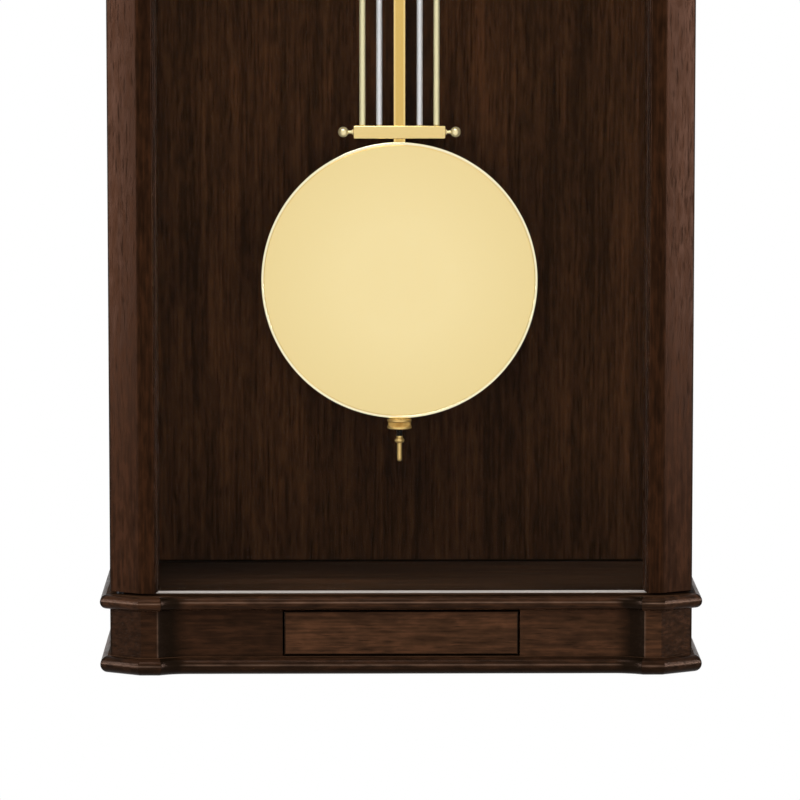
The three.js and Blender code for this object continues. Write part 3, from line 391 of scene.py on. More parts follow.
def moulded_board(node):
    """The plan carried round a half circle of the board's thickness, so that its edge becomes a nose."""
    low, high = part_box(node)
    nose = (high.z - low.z) / 2
    turns = np.linspace(-math.pi / 2, math.pi / 2, 37)
    return skin([
        plan_ring(nose_overhang - nose + nose * math.cos(turn), low.z + nose + nose * math.sin(turn))
        for turn in turns
    ])


def runs_back(normals, centres):
    """True for the part of a moulding that returns along the side to the wall."""
    return (np.abs(centres[:, 0]) > half_width - arris) & (centres[:, 1] > cant_start)


def lies_level(normals, centres):
    """True for the flat top of a board."""
    return normals[:, 2] > level_turn


# Each board takes painted shade in its hollows, round its outer corners and under its nose, and a painted
# highlight along its nose's crest.
for board, finish, under_shade, wear_and_highlight in (
    ("base_plinth", plinth_walnut, 0.6, 0.7),
    ("base_shelf", level_walnut, 0.25, 0.95),
    ("cornice_bed", level_walnut, 0.25, 0.95),
    ("cornice_crown", level_walnut, 0.25, 0.95),
):
    moulding = piece_of("moulded_" + board, moulded_board(board))
    fitted(moulding, finish, "case", "walnut", board)
    paint_shade(moulding, under_shade)
    paint_crest_highlight(moulding, wear_and_highlight)
    refaced(moulding, side_walnut, runs_back)
    refaced(moulding, floor_walnut, lies_level)

# Friezes between the mouldings: walnut boards that follow the same plan without the nose. Those of the
# base leave the drawer's opening between them, and the grain of their returns runs back to the wall.
frieze_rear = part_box("drawer_front")[1].y
drawer_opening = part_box("base_frieze_right")[0].x
drawer_plane = -(case_depth - sweep_depth)
return_thickness = 0.012
return_inner = half_width - return_thickness
block_highlight = 0.6
askew_turn = 0.3
square_turn = 0.9


def faces_sideways(normals, centres):
    """True for the returns, whose grain runs back to the wall."""
    return (np.abs(normals[:, 0]) > square_turn) & (np.abs(centres[:, 0]) > half_width - arris)


def faces_askew(normals, centres):
    """True for the canted corners, which take a darker copy of the stain as painted shade."""
    outwards = np.sign(centres[:, 0]) * normals[:, 0]
    return (outwards > askew_turn) & (outwards < square_turn)


def levels(outline, node):
    """An outline in plan, repeated at the bottom and at the top of a solid."""
    low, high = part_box(node)
    return skin([np.insert(outline, 2, z, axis=1) for z in (low.z, high.z)])


# Each canted corner takes a darker copy of its board's stain as painted shade, and the right board is
# coloured lighter than the left.
for node, side, tone, corner_tone in (
    ("base_frieze_left", -1, 0.62, 0.46),
    ("base_frieze_right", 1, 1.3, 0.7),
):
    inner = [
        [drawer_opening, drawer_plane],
        [drawer_opening, frieze_rear],
        [return_inner, frieze_rear],
        [return_inner, 0],
    ]
    outline = eased(np.vstack([front_plan(0), inner]), arris) * [side, 1]
    board_walnut = walnut("walnut_" + node, ALONG_X, tone * base_stain, 0.24, mottle=0.32, spread=0.14)
    frieze = fitted(piece_of("board_" + node, levels(outline, node)), board_walnut, "case", "walnut", node)
    paint_shade(frieze, 0)
    # A painted highlight runs down the front block's inner corner.
    points = point_field(frieze, frieze.data.vertices, "co")
    off_block = np.hypot(np.abs(points[:, 0]) - block_inner, points[:, 1] + case_depth)
    painted(frieze, "rub", block_highlight * (off_block < 2 * arris))
    corner_walnut = walnut("walnut_corner_" + node, ALONG_X, corner_tone * base_stain, 0.24)
    refaced(frieze, corner_walnut, faces_askew)
    refaced(frieze, side_walnut, faces_sideways)

cornice_rows = [plan_ring(0, corner.z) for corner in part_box("cornice_frieze")]
cornice = piece_of("board_cornice_frieze", skin(cornice_rows))
fitted(cornice, level_walnut, "case", "walnut", "cornice_frieze")
refaced(cornice, side_walnut, faces_sideways)

# Door: two canted stiles and a top rail of walnut, tongued and glued at the top corners, with no bottom
# rail. The pane is bonded into a rebate that is open to the front, and painted shade lies dark on the outer
# edges.
pane_low, pane_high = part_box("door_glass")
pane_gap = 0.0003
rebate_rear = pane_high.y - pane_gap
rebate_edge = pane_high.x + pane_gap
rebate_top = pane_high.z + pane_gap
stile_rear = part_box("door_right_stile")[1].y
pin_round = 0.006
stile_arris = 0.0013
dark_edge = 0.0012
dark_reach = 0.9 * dark_edge
crease_round = 0.0070


def stile_section(side):
    """Section of a stile seen from above: front flat, rebate for the pane, rear face, round outer corner
    about the pivot, side face and cant."""
    turn = np.linspace(math.pi / 2, 0, 9)
    corner_x = half_width - pin_round + pin_round * np.cos(turn)
    corner = np.column_stack([corner_x, stile_rear - pin_round + pin_round * np.sin(turn)])
    outline = np.vstack([
        [
            [rebate_edge, -case_depth],
            [rebate_edge, rebate_rear],
            [block_inner, rebate_rear],
            [block_inner, stile_rear],
        ],
        corner,
        [
            [half_width, cant_start],
            [half_width - dark_edge, cant_start - dark_edge * cant_depth / cant_width],
            [half_width - cant_width, -case_depth],
        ],
    ])
    rounds = np.full((len(outline), 1), stile_arris)
    rounds[-1] = crease_round
    return eased(outline, rounds) * [side, 1]


for node, side in (("door_left_stile", -1), ("door_right_stile", 1)):
    stile = piece_of("post_" + node, levels(stile_section(side), node))
    fitted(stile, upright_walnut, "door", "walnut", node)
    # Painted shade along each stile's outer edge.
    outwards = np.abs(point_field(stile, stile.data.vertices, "co")[:, 0]) - half_width
    painted(stile, "glaze", (outwards > -dark_reach).astype(float))

rail_low, rail_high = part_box("door_top_rail")
rail_section = eased([
    [stile_rear, rail_low.z],
    [rebate_rear, rail_low.z],
    [rebate_rear, rebate_top],
    [-case_depth, rebate_top],
    [-case_depth, rail_high.z],
    [stile_rear, rail_high.z],
], arris)
rail_rows = [np.insert(rail_section, 0, x, axis=1) for x in (rail_low.x, rail_high.x)]
fitted(piece_of("board_door_top_rail", skin(rail_rows)), level_walnut, "door", "walnut", "door_top_rail")

# Pane: float glass of 4 mm with a ground bevel all round. The clear faces hardly show, and the ground
# edge at the foot scatters light as a pale line.
glass_bevel = 0.0016
bevel_turn = 0.1
frost_shades = [(0.220, 0.200, 0.185, 1), (0.330, 0.295, 0.270, 1)]


def framed(low, high, edge, corner=0.0004):
    """A flat slab that faces the front. Its edge profile lists inset and depth, and each entry is the
    slab's outline drawn in by that inset at that depth."""
    rows = []
    for inset, y in edge:
        x0, x1, z0, z1 = low.x + inset, high.x - inset, low.z + inset, high.z - inset
        outline = eased([[x0, z0], [x1, z0], [x1, z1], [x0, z1]], corner, 3)
        rows.append(np.insert(outline, 1, y, axis=1))
    return skin(rows)


clear_glass = Finish("clear_glass")
pane_place = clear_glass.node("TexCoord", output="Object")
haze = clear_glass.node("TexNoise", inputs={"Vector": pane_place, "Scale": 14.0, "Detail": 3.0})
clear_glass.set(Base_Color=(0.010, 0.012, 0.011, 1), Roughness=0.015 + 0.03 * haze, Alpha=0.02)


def ground_glass(name, cover):
    """Glass ground to a frost, which scatters light; the cover is how much of what lies behind it hides."""
    finish = Finish(name)
    edge_place = finish.node("TexCoord", output="Object")
    frost = finish.node("TexNoise", inputs={"Vector": edge_place, "Scale": 900.0, "Detail": 2.0})
    finish.set(Base_Color=finish.mix(frost, *frost_shades))
    return finish.set(Roughness=0.35 + 0.3 * frost, Alpha=cover)


pane_edge = [(0, pane_high.y), (0, pane_low.y + glass_bevel / 2), (glass_bevel, pane_low.y)]
pane = piece_of("pane", framed(pane_low, pane_high, pane_edge))
fitted(pane, clear_glass, "door", "glass", "door_glass")
foot_glass = ground_glass("ground_glass_foot", cover=1.0)
refaced(pane, foot_glass, lambda normals, centres: normals[:, 2] < -bevel_turn)
side_glass = ground_glass("ground_glass_side", cover=0.02)
refaced(pane, side_glass, lambda normals, centres: np.abs(normals[:, 0]) > bevel_turn)

# Drawer: a flush walnut front with no pull, on an open tray. Its edges are eased, and painted shadow lies
# dark round its face, where the gap is.
front_low, front_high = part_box("drawer_front")
ease = 0.0010
shade_width = 0.7 * ease
shade_depth = 1.5 * ease
ease_turns = np.linspace(0, math.pi / 2, 6)
ease_insets = ease - ease * np.cos(ease_turns)
ease_depths = front_low.y + ease - ease * np.sin(ease_turns)
front_edge = [(0, front_high.y), *zip(ease_insets, ease_depths)]
drawer_walnut = walnut("walnut_drawer", ALONG_X, 1.55 * base_stain, 0.24, mottle=0.28, spread=0.12)
drawer_front = piece_of("board_drawer_front", framed(front_low, front_high, front_edge))
fitted(drawer_front, drawer_walnut, "drawer", "walnut", "drawer_front")
points = point_field(drawer_front, drawer_front.data.vertices, "co")
off_ends = front_high.x - np.abs(points[:, 0])
off_edge = np.minimum.reduce([off_ends, points[:, 2] - front_low.z, front_high.z - points[:, 2]])
at_front = points[:, 1] < front_low.y + shade_depth
# Painted shadow of the gap round the front's face.
painted(drawer_front, "glaze", ((off_edge < shade_width) & at_front).astype(float))

# Pendulum frame: four drawn rods, two of brass and two of steel, between brass crossbars with ball finials.
# A flat brass bar slides through the crossbars, runs behind the bob and ends in a black threaded tail.


def metal(name, shades, roughness, scale, wear_and_highlight=0.06, mirror=1.0, edging=None):
    """Metal with a worked surface. Fine noise drawn out by the scale varies the shade and the roughness,
    and a broad noise lays a faint tarnish over it. The mirror is the share that a hazy lacquer leaves
    bright, and the edging is another shade with the rule for where it takes over."""
    finish = Finish(name)
    place = finish.node("TexCoord", output="Object")
    drawn = finish.node("Mapping", inputs={"Vector": place, "Scale": scale})
    strokes = finish.node("TexNoise", inputs={"Vector": drawn, "Scale": 1.0, "Detail": 2.0})
    tarnish = finish.node("TexNoise", inputs={"Vector": place, "Scale": 22.0, "Detail": 3.0})
    shade = finish.mix(0.6 * strokes + 0.4 * tarnish, *shades)
    if edging is not None:
        edge_shade, edge_weight = edging
        shade = finish.mix(edge_weight(finish, place), shade, edge_shade)
    finish.set(Base_Color=shade, Metallic=mirror)
    finish.set(Roughness=roughness + wear_and_highlight * (strokes - 0.5) + wear_and_highlight * (tarnish - 0.5))
    return finish


brass_shades = [(0.860, 0.560, 0.170, 1), (0.960, 0.680, 0.260, 1)]
beam_shades = [(0.840, 0.620, 0.250, 1), (0.930, 0.710, 0.310, 1)]
pale_shades = [(0.980, 0.870, 0.480, 1), (1.000, 0.930, 0.560, 1)]
gilt_shades = [(1.000, 0.820, 0.420, 1), (1.000, 0.880, 0.490, 1)]
steel_shades = [(0.800, 0.805, 0.815, 1), (0.930, 0.935, 0.945, 1)]
black_shades = [(0.012, 0.012, 0.013, 1), (0.040, 0.040, 0.042, 1)]
drawn_upright = (900.0, 900.0, 25.0)
drawn_level = (25.0, 900.0, 900.0)
turned_grain = (300.0, 300.0, 300.0)
rod_brass = metal("brass_drawn", pale_shades, 0.15, drawn_upright, mirror=0.25)
level_brass = metal("brass_level", beam_shades, 0.20, drawn_level)
turned_brass = metal("brass_turned", brass_shades, 0.24, turned_grain, mirror=0.5)
rod_steel = metal("steel_drawn", steel_shades, 0.15, drawn_upright, mirror=0.3)
finial_brass = metal("brass_finial", gilt_shades, 0.18, turned_grain, mirror=0.5)
black_steel = metal("steel_blacked", black_shades, 0.34, (400.0, 400.0, 400.0))


def circle(steps):
    """Evenly spaced turns once round."""
    return np.linspace(0, 2 * math.pi, steps, endpoint=False)


def turned(profile, centre, axis, turns=circle(96), flutes=0):
    """Surface of revolution. The profile lists radius and place along the axis, and a third column adds
    a cosine of the turn, repeated by the number of flutes, to the radius. The centre shifts the whole."""
    profile = np.asarray(profile, float)
    radius = np.repeat(profile[:, :1], len(turns), axis=1)
    if flutes:
        radius = radius + profile[:, 2:] * np.cos(flutes * turns)
    rows = np.zeros((len(profile), len(turns), 3))
    across, up = [other for other in range(3) if other != axis]
    rows[..., across] = radius * np.cos(turns)
    rows[..., up] = radius * np.sin(turns)
    rows[..., axis] = profile[:, 1:2]
    return skin(rows + centre, caps=False)


def arc(radius, first, last, steps, centre):
    """Points of a circular arc as radius and place along the axis."""
    turn = np.linspace(math.radians(first), math.radians(last), steps)
    return np.column_stack([centre[0] + radius * np.cos(turn), centre[1] + radius * np.sin(turn)])


bar_low, bar_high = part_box("pendulum_bar")
swing_y = (bar_low.y + bar_high.y) / 2
bob_low, bob_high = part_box("bob")
bob_z = (bob_low.z + bob_high.z) / 2
bob_radius = bob_high.x
rod_ease = 0.0003
for node, finish, slot in (
    ("outer_rod_left", rod_brass, "brass"),
    ("inner_rod_left", rod_steel, "steel"),
    ("inner_rod_right", rod_steel, "steel"),
    ("outer_rod_right", rod_brass, "brass"),
):
    low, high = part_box(node)
    radius = (high.x - low.x) / 2
    profile = [[0, low.z], [radius - rod_ease, low.z], [radius, low.z + rod_ease],
               [radius, high.z - rod_ease], [radius - rod_ease, high.z], [0, high.z]]
    rod = piece_of("drawn_" + node, turned(profile, ((low.x + high.x) / 2, swing_y, 0), ALONG_Z))
    fitted(rod, finish, "pendulum", slot, node)

beam_width = 0.055
beam_depth = 0.005
beam_ease = 0.0008
slot_width = 0.0078
slot_depth = 0.0031
neck_radius = 0.0010
collar_radius = 0.0017
collar_width = 0.0004
finial_ball = 0.00315


def stock(width, depth, ease, inset, z):
    """Section of flat stock on the pendulum's axis: an eased rectangle at a level, drawn in by an inset."""
    x, y = width / 2 - inset, depth / 2 - inset
    outline = eased([[-x, -y], [x, -y], [x, y], [-x, y]], ease, 6)
    return np.insert(outline + [0, swing_y], 2, z, axis=1)


def crossbar_beam(z0, z1):
    """A beam round the bar's slot: the outline and the slot, each an eased rectangle in plan, carried from
    the bottom to the top with its edges drawn in, and joined into one closed tube."""
    turns = np.linspace(-math.pi / 2, 0, 6)
    low_edge = [(beam_ease * (1 - math.cos(turn)), z0 + beam_ease * (1 + math.sin(turn))) for turn in turns]
    edge = low_edge + [(inset, z0 + z1 - z) for inset, z in low_edge[::-1]]
    outer = [stock(beam_width, beam_depth, beam_ease, inset, z) for inset, z in edge]
    inner = [stock(slot_width, slot_depth, beam_ease, 0, z) for z in (z1, z0)]
    return skin([*outer, *inner, outer[0]], caps=False)


def finial(ball_x):
    """Half profile of a finial: a collar on the beam's end, a neck, and the ball that it runs into."""
    polar = np.linspace(math.asin(neck_radius / finial_ball), math.pi, 24)
    ball = np.column_stack([finial_ball * np.sin(polar), ball_x - finial_ball * np.cos(polar)])
    end = beam_width / 2
    foot = [
        [0, end],
        [collar_radius, end],
        [collar_radius, end + collar_width],
        [neck_radius, end + 2 * collar_width],
    ]
    return np.vstack([foot, ball])


for node in ("lower_crossbar", "upper_crossbar"):
    low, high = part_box(node)
    middle = (low.z + high.z) / 2
    profile = finial(high.x - finial_ball)
    ends = [turned(profile * [1, side], (0, swing_y, middle), ALONG_X) for side in (-1, 1)]
    beam = piece_of("beam_" + node, crossbar_beam(low.z, high.z), *ends)
    fitted(beam, level_brass, "pendulum", "brass", node)
    refaced(beam, finial_brass, lambda normals, centres: np.abs(centres[:, 0]) > beam_width / 2)

# Bar and tail: the flat brass bar with a painted highlight along its edges, then a black screw thread that
# carries the nut, then a turned collar and pin.
nut_low, nut_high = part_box("rating_nut")
bar_width = 0.0072
bar_thickness = 0.0025
bar_ease = 0.0006
bar_rise = 0.0026
bar_end = bob_low.z + bar_rise
screw_radius = 0.00168
screw_depth = 0.00012
screw_pitch = 0.0007
thread_length = 0.0043
thread_sink = 0.0005
tail_top = nut_low.z - thread_length
tail_radius = 0.0030
pin_radius = 0.0015
bar_levels = [
    (bar_ease, bar_end),
    (0, bar_end + bar_ease),
    (0, bar_high.z - bar_ease),
    (bar_ease, bar_high.z),
]
bar_rows = [stock(bar_width, bar_thickness, bar_ease, inset, z) for inset, z in bar_levels]
bar = piece_of("flat_bar", skin(bar_rows))
bar_shades = [(0.730, 0.475, 0.130, 1), (0.800, 0.540, 0.160, 1)]
edge_highlight_shade = (0.960, 0.690, 0.270, 1)
highlight_start = 0.0021
highlight_end = 0.0027


def off_centre_line(finish, place):
    """Weight that grows from none to full between two distances to the side of the bar's centre line."""
    x = finish.node("SeparateXYZ", inputs={"Vector": place}, output="X")
    limits = {"Value": x.math("ABSOLUTE", x), "From Min": highlight_start, "From Max": highlight_end}
    return finish.node("MapRange", inputs=limits)


# Its edges are coloured paler: a painted highlight.
bar_brass = metal("brass_rolled", bar_shades, 0.25, drawn_upright, edging=(edge_highlight_shade, off_centre_line))
fitted(bar, bar_brass, "pendulum", "brass", "pendulum_bar")


def screw(z0, z1):
    """A helical thread: at each level the radius follows a cosine of the turn less the level over the
    pitch."""
    turn = circle(32)
    z = np.arange(z0, z1, screw_pitch / 9)[:, None]
    radius = screw_radius + screw_depth * np.cos(turn - 2 * math.pi * z / screw_pitch)
    rows = [radius * np.cos(turn), swing_y + radius * np.sin(turn), np.repeat(z, len(turn), axis=1)]
    return skin(np.stack(rows, axis=-1))


thread = piece_of("screw_thread", screw(tail_top - thread_sink, bar_end))
fitted(thread, black_steel, "pendulum", "steel", "pendulum_bar")
bead = 0.0014
shoulder = 0.0021
bead_drop = 0.0028
tail_profile = np.vstack([
    [[0, tail_top], [shoulder, tail_top], [shoulder, tail_top - bead_drop + bead]],
    arc(bead, 70, -70, 19, (tail_radius - bead, tail_top - bead_drop)),
    [[pin_radius, tail_top - bead_drop - bead], [pin_radius, bar_low.z + pin_radius]],
    arc(pin_radius, 0, -90, 8, (0, bar_low.z + pin_radius)),
])
tail = piece_of("tail_pin", turned(tail_profile, (0, swing_y, 0), ALONG_Z))
fitted(tail, turned_brass, "pendulum", "brass", "pendulum_bar")

# Bob: a shallow dome spun from brass sheet in satin lacquer, with a groove, a rolled rim and an open back.
# The rim is notched at the top and the bottom where the bar passes. The dome is coloured darker towards its
# edge as painted shade, and the rim paler as a painted highlight.
rim_bead = 0.0008
rim_ease = 0.0005
rim_depth = 0.0040
bead_crown = 0.35
sheet_thickness = 0.0009
groove = 0.0004
rim_inner = bob_radius - 2 * rim_bead
dome_edge = rim_inner - groove
dome_edge_y = bob_high.y - rim_depth
groove_y = dome_edge_y + groove
notch_width = 0.0082
notch_slope = 0.0003
notch_gap = 0.0021
notch_half = math.asin(notch_width / 2 / bob_radius)
notch_side = math.asin(notch_slope / bob_radius)
notch_y = swing_y - notch_gap
satin_shades = [(0.985, 0.790, 0.395, 1), (1.000, 0.820, 0.425, 1)]
# The dome's colour darkens towards the rim: painted shade.
rim_painted_shade = (0.930, 0.735, 0.350, 1)
even_part = 0.4


def off_middle(finish, place):
    """Weight that grows from none at the edge of the bob's even part, a share of its radius, to full at
    the rim."""
    middle = (0, swing_y, bob_z)
    distance = finish.node("VectorMath", {"operation": "DISTANCE"}, {0: place, 1: middle}, "Value")
    limits = {"Value": distance, "From Min": even_part * bob_radius, "From Max": bob_radius}
    return finish.node("MapRange", inputs=limits)


satin_grain = (180.0, 180.0, 180.0)
satin_edging = (rim_painted_shade, off_middle)
satin_brass = metal("brass_satin", satin_shades, 0.16, satin_grain, wear_and_highlight=0.04, edging=satin_edging)
dome_shares = np.linspace(0, 1, 40)
dome_y = bob_low.y + (dome_edge_y - bob_low.y) * dome_shares ** 2
dome = np.column_stack([dome_edge * dome_shares, dome_y])
bead_front = arc(rim_bead, 180, 360, 17, (bob_radius - rim_bead, groove_y))
bead_front[:, 1] = groove_y + bead_crown * (bead_front[:, 1] - groove_y)
rear_y = bob_high.y
rear = [
    [bob_radius, rear_y - rim_ease],
    [bob_radius - rim_ease, rear_y],
    [rim_inner, rear_y],
    [dome_edge, rear_y - groove],
]
bob_profile = np.vstack([
    dome,
    [[dome_edge + groove / 2, groove_y]],
    bead_front,
    rear,
    (dome + [0, sheet_thickness])[:-2][::-1],
])
notch_edges = np.array([-notch_half - notch_side, -notch_half, notch_half, notch_half + notch_side])
notch_turns = np.concatenate([math.pi / 2 + notch_edges, 3 * math.pi / 2 + notch_edges])
bob_turns = np.sort(np.concatenate([circle(360), notch_turns]))
bob_points, bob_faces = turned(bob_profile, (0, 0, bob_z), ALONG_Y, bob_turns)
off_bar = np.arcsin(np.abs(np.cos(np.tile(bob_turns, len(bob_profile)))))
allowed = np.interp(off_bar, [notch_half, notch_half + notch_side], [notch_y, rear_y])
bob_points[:, 1] = np.minimum(bob_points[:, 1], allowed)
bob = fitted(piece_of("spun_bob", (bob_points, bob_faces)), satin_brass, "pendulum", "satin_brass", "bob")
# The rolled rim is coloured paler than the dome: a painted highlight.
rim_highlight_shades = [(1.000, 0.890, 0.560, 1), (1.000, 0.930, 0.640, 1)]
rim_brass = metal("brass_rim", rim_highlight_shades, 0.12, satin_grain, wear_and_highlight=0.03)


def on_rim(normals, centres):
    """Faces of the rolled rim, by their distance from the bob's middle."""
    return np.hypot(centres[:, 0], centres[:, 2] - bob_z) > rim_inner


refaced(bob, rim_brass, on_rim)

# Rating nut: turned brass on the bar's thread, which sets the pendulum's length. Its coin-edged waist is
# coloured darker than the two plain rims, as painted shade in the knurl.
nut_radius = nut_high.x
thread_gap = 0.0003
nut_bore = screw_radius + screw_depth + thread_gap
nut_chamfer = 0.0004
nut_rim = 0.0010
nut_groove = 0.0005
nut_waist = nut_radius - nut_groove
coin_edge = 0.00015
lower_half = [
    [nut_bore, nut_low.z, 0],
    [nut_radius - nut_chamfer, nut_low.z, 0],
    [nut_radius, nut_low.z + nut_chamfer, 0],
    [nut_radius, nut_low.z + nut_chamfer + nut_rim, 0],
    [nut_waist, nut_low.z + nut_chamfer + nut_rim + nut_groove, coin_edge],
]
upper_half = [[radius, nut_low.z + nut_high.z - z, flute] for radius, z, flute in lower_half[::-1]]
nut_profile = [*lower_half, *upper_half, lower_half[0]]
nut_skin = turned(nut_profile, (0, swing_y, 0), ALONG_Z, circle(480), flutes=60)
nut = piece_of("coin_edged_nut", nut_skin)
fitted(nut, turned_brass, "nut", "brass", "rating_nut")
# Darker colour for the coin edge: painted shade between its flutes.
waist_shades = [(0.600, 0.360, 0.085, 1), (0.700, 0.440, 0.120, 1)]
waist_brass = metal("brass_coin_edged", waist_shades, 0.22, turned_grain, mirror=0.6)


def on_waist(normals, centres):
    """Faces of the coin edge, by their distance from the nut's axis."""
    return np.abs(np.hypot(centres[:, 0], centres[:, 1] - swing_y) - nut_waist) < 2 * coin_edge


refaced(nut, waist_brass, on_waist)

# Dial: an ivory enamelled plate with a printed minute track and Roman hours, brass eyelets round the
# winding holes and a turned brass bezel. The print is a thin raised film of black ink.
ivory_shades = [(0.720, 0.670, 0.550, 1), (0.800, 0.750, 0.630, 1)]
ivory = Finish("ivory_enamel")
spot = ivory.node("TexCoord", output="Object")
clouds = ivory.node("TexNoise", inputs={"Vector": spot, "Scale": 40.0, "Detail": 3.0})
ivory.set(Base_Color=ivory.mix(clouds, *ivory_shades), Roughness=0.30 + 0.08 * clouds)
dress(ivory, "dial_plate")
dial_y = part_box("dial_plate")[0].y
ink_film = 0.0001
ink_shades = [(0.006, 0.006, 0.006, 1), (0.016, 0.015, 0.014, 1)]
ink = Finish("black_ink")
dots = ink.node("TexNoise", inputs={"Vector": ink.node("TexCoord", output="Object"), "Scale": 700.0})
ink.set(Base_Color=ink.mix(dots, *ink_shades), Roughness=0.45 + 0.2 * dots)


def printed(corners, angle):
    """A film with the given corners, which are right of and out from the dial's centre, turned clockwise
    by an angle from twelve."""
    across, out = np.asarray(corners, float).T
    x = across * math.cos(angle) + out * math.sin(angle)
    z = out * math.cos(angle) - across * math.sin(angle)
    return skin([np.column_stack([x, np.full(len(x), y), z]) for y in (dial_y, dial_y - ink_film)])


def ring_film(inner, outer):
    """A flat printed ring."""
    section = [[inner, dial_y], [outer, dial_y], [outer, dial_y - ink_film], [inner, dial_y - ink_film]]
    return turned([*section, section[0]], (0, 0, 0), ALONG_Y, circle(240))


track_inner = 0.0992
track_outer = 0.1034
track_line = 0.0003
minute_half = 0.00022
five_half = 0.0007
track = [ring_film(track_inner, track_inner + track_line), ring_film(track_outer, track_outer + track_line)]
for minute in range(60):
    half = minute_half if minute % 5 else five_half
    tick = [[-half, track_inner], [half, track_inner], [half, track_outer], [-half, track_outer]]
    track.append(printed(tick, math.tau * minute / 60))
fitted(piece_of("minute_track", *track), ink, "case", "black")

numeral_foot = 0.0735
numeral_head = 0.0945
thick = 0.0029
thin = 0.0009
serif_height = 0.0007
serif_reach = 0.0011
advance = {"I": 0.0058, "V": 0.0128, "X": 0.0128}
strokes_of = {
    "I": [(0, 0, thick)],
    "V": [(0, -1, thick), (0, 1, thin)],
    "X": [(1, -1, thick), (-1, 1, thin)],
}
splay = 0.0040
numerals = []
for hour, numeral in enumerate("XII I II III IIII V VI VII VIII IX X XI".split()):
    angle = math.tau * hour / 12
    pen = -sum(advance[letter] for letter in numeral) / 2
    for letter in numeral:
        middle = pen + advance[letter] / 2
        pen += advance[letter]
        for foot, head, width in strokes_of[letter]:
            foot_x, head_x, half = middle + foot * splay, middle + head * splay, width / 2
            stroke = [[foot_x - half, numeral_foot], [foot_x + half, numeral_foot],
                      [head_x + half, numeral_head], [head_x - half, numeral_head]]
            numerals.append(printed(stroke, angle))
            for end, level in ((foot_x, numeral_foot), (head_x, numeral_head - serif_height)):
                reach = half + serif_reach
                serif = [[end - reach, level], [end + reach, level],
                         [end + reach, level + serif_height], [end - reach, level + serif_height]]
                numerals.append(printed(serif, angle))
fitted(piece_of("hour_numerals", *numerals), ink, "case", "black")

eyelet_inner = 0.0046
eyelet_wall = 0.0008
eyelets = []
for node in ("strike_barrel", "time_barrel", "chime_barrel"):
    low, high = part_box(node)
    centre = ((low.x + high.x) / 2, 0, (low.z + high.z) / 2)
    lip = arc(eyelet_wall, 180, 360, 13, (eyelet_inner + eyelet_wall, dial_y))
    eyelets.append(turned(np.vstack([lip, lip[:1]]), centre, ALONG_Y))
fitted(piece_of("winding_eyelets", *eyelets), turned_brass, "case", "brass")

bezel_low, bezel_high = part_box("bezel_ring")
bezel_outer = bezel_high.x
seat_width = 0.0077
bezel_width = 0.0130
flange = 0.0016
flange_round = [[0.0008, 0.0006], [0.0022, 0.0008]]
crown_radius = 0.0026
dial_gap = 0.0003
bezel_seat = bezel_outer - seat_width
bezel_lip = bezel_outer - bezel_width
flange_y = bezel_high.y - flange
lip_y = dial_y - dial_gap
crown_centre = (bezel_outer - 2 * crown_radius, bezel_low.y + crown_radius)
slope = np.linspace(0, 1, 14)
slope_end = [bezel_lip, lip_y - dial_gap]
slope_start = [crown_centre[0] - crown_radius, crown_centre[1]]
slope_y = slope_start[1] + (slope_end[1] - slope_start[1]) * (1 - (1 - slope) ** 2)
bezel_profile = np.vstack([
    [[bezel_seat, bezel_high.y], [bezel_outer, bezel_high.y], [bezel_outer, flange_y]],
    np.subtract([bezel_outer, flange_y], flange_round),
    arc(crown_radius, 0, -180, 21, crown_centre),
    np.column_stack([slope_start[0] + (slope_end[0] - slope_start[0]) * slope, slope_y])[1:],
    [[bezel_lip, lip_y], [bezel_seat, lip_y], [bezel_seat, bezel_high.y]],
])
bezel = piece_of("turned_bezel", turned(bezel_profile, (0, 0, 0), ALONG_Y, circle(256)))
fitted(bezel, turned_brass, "case", "brass", "bezel_ring")

# Hands: blued-black steel leaf hands with a raised spine. Each sits on a bushed hub, and a knurled brass
# nut holds them.
neck_half = 0.00122
neck_start = 0.06
leaf_half = 0.00305
leaf_start = 0.28
leaf_widest = 0.66
leaf_taper = 1.6
tip_half = 0.00008
tail_start = 0.004
hand_tail = 0.014
tail_flare = 0.6
hub_radius = 0.0061
hub_ease = 0.0003
hand_edge = 0.0004
hand_shades = [(0.008, 0.008, 0.010, 1), (0.022, 0.022, 0.026, 1)]
hand_black = metal("hand_black", hand_shades, 0.30, (90.0, 90.0, 90.0))


def leaf_width(share):
    """Half width along a hand: a plain neck, then a leaf that swells as a squared sine of its share of the
    length and runs out to a point by a power of it."""
    swell = np.clip((share - leaf_start) / (leaf_widest - leaf_start), 0, 1)
    point = np.clip((share - leaf_widest) / (1 - leaf_widest), 0, 1)
    leaf = neck_half + (leaf_half - neck_half) * np.sin(swell * math.pi / 2) ** 2
    return leaf * (1 - point ** leaf_taper) + tip_half


def blade(out, half, angle, rear, front):
    """A ridged blade: at each distance out its section is a low roof of the given half width."""
    edge = rear - hand_edge
    across = np.stack([-half, -half, 0 * half, half, half], axis=-1)
    x = across * math.cos(angle) + out[:, None] * math.sin(angle)
    z = out[:, None] * math.cos(angle) - across * math.sin(angle)
    y = np.tile([rear, edge, front, edge, rear], (len(out), 1))
    return skin(np.stack([x, y, z], axis=-1))


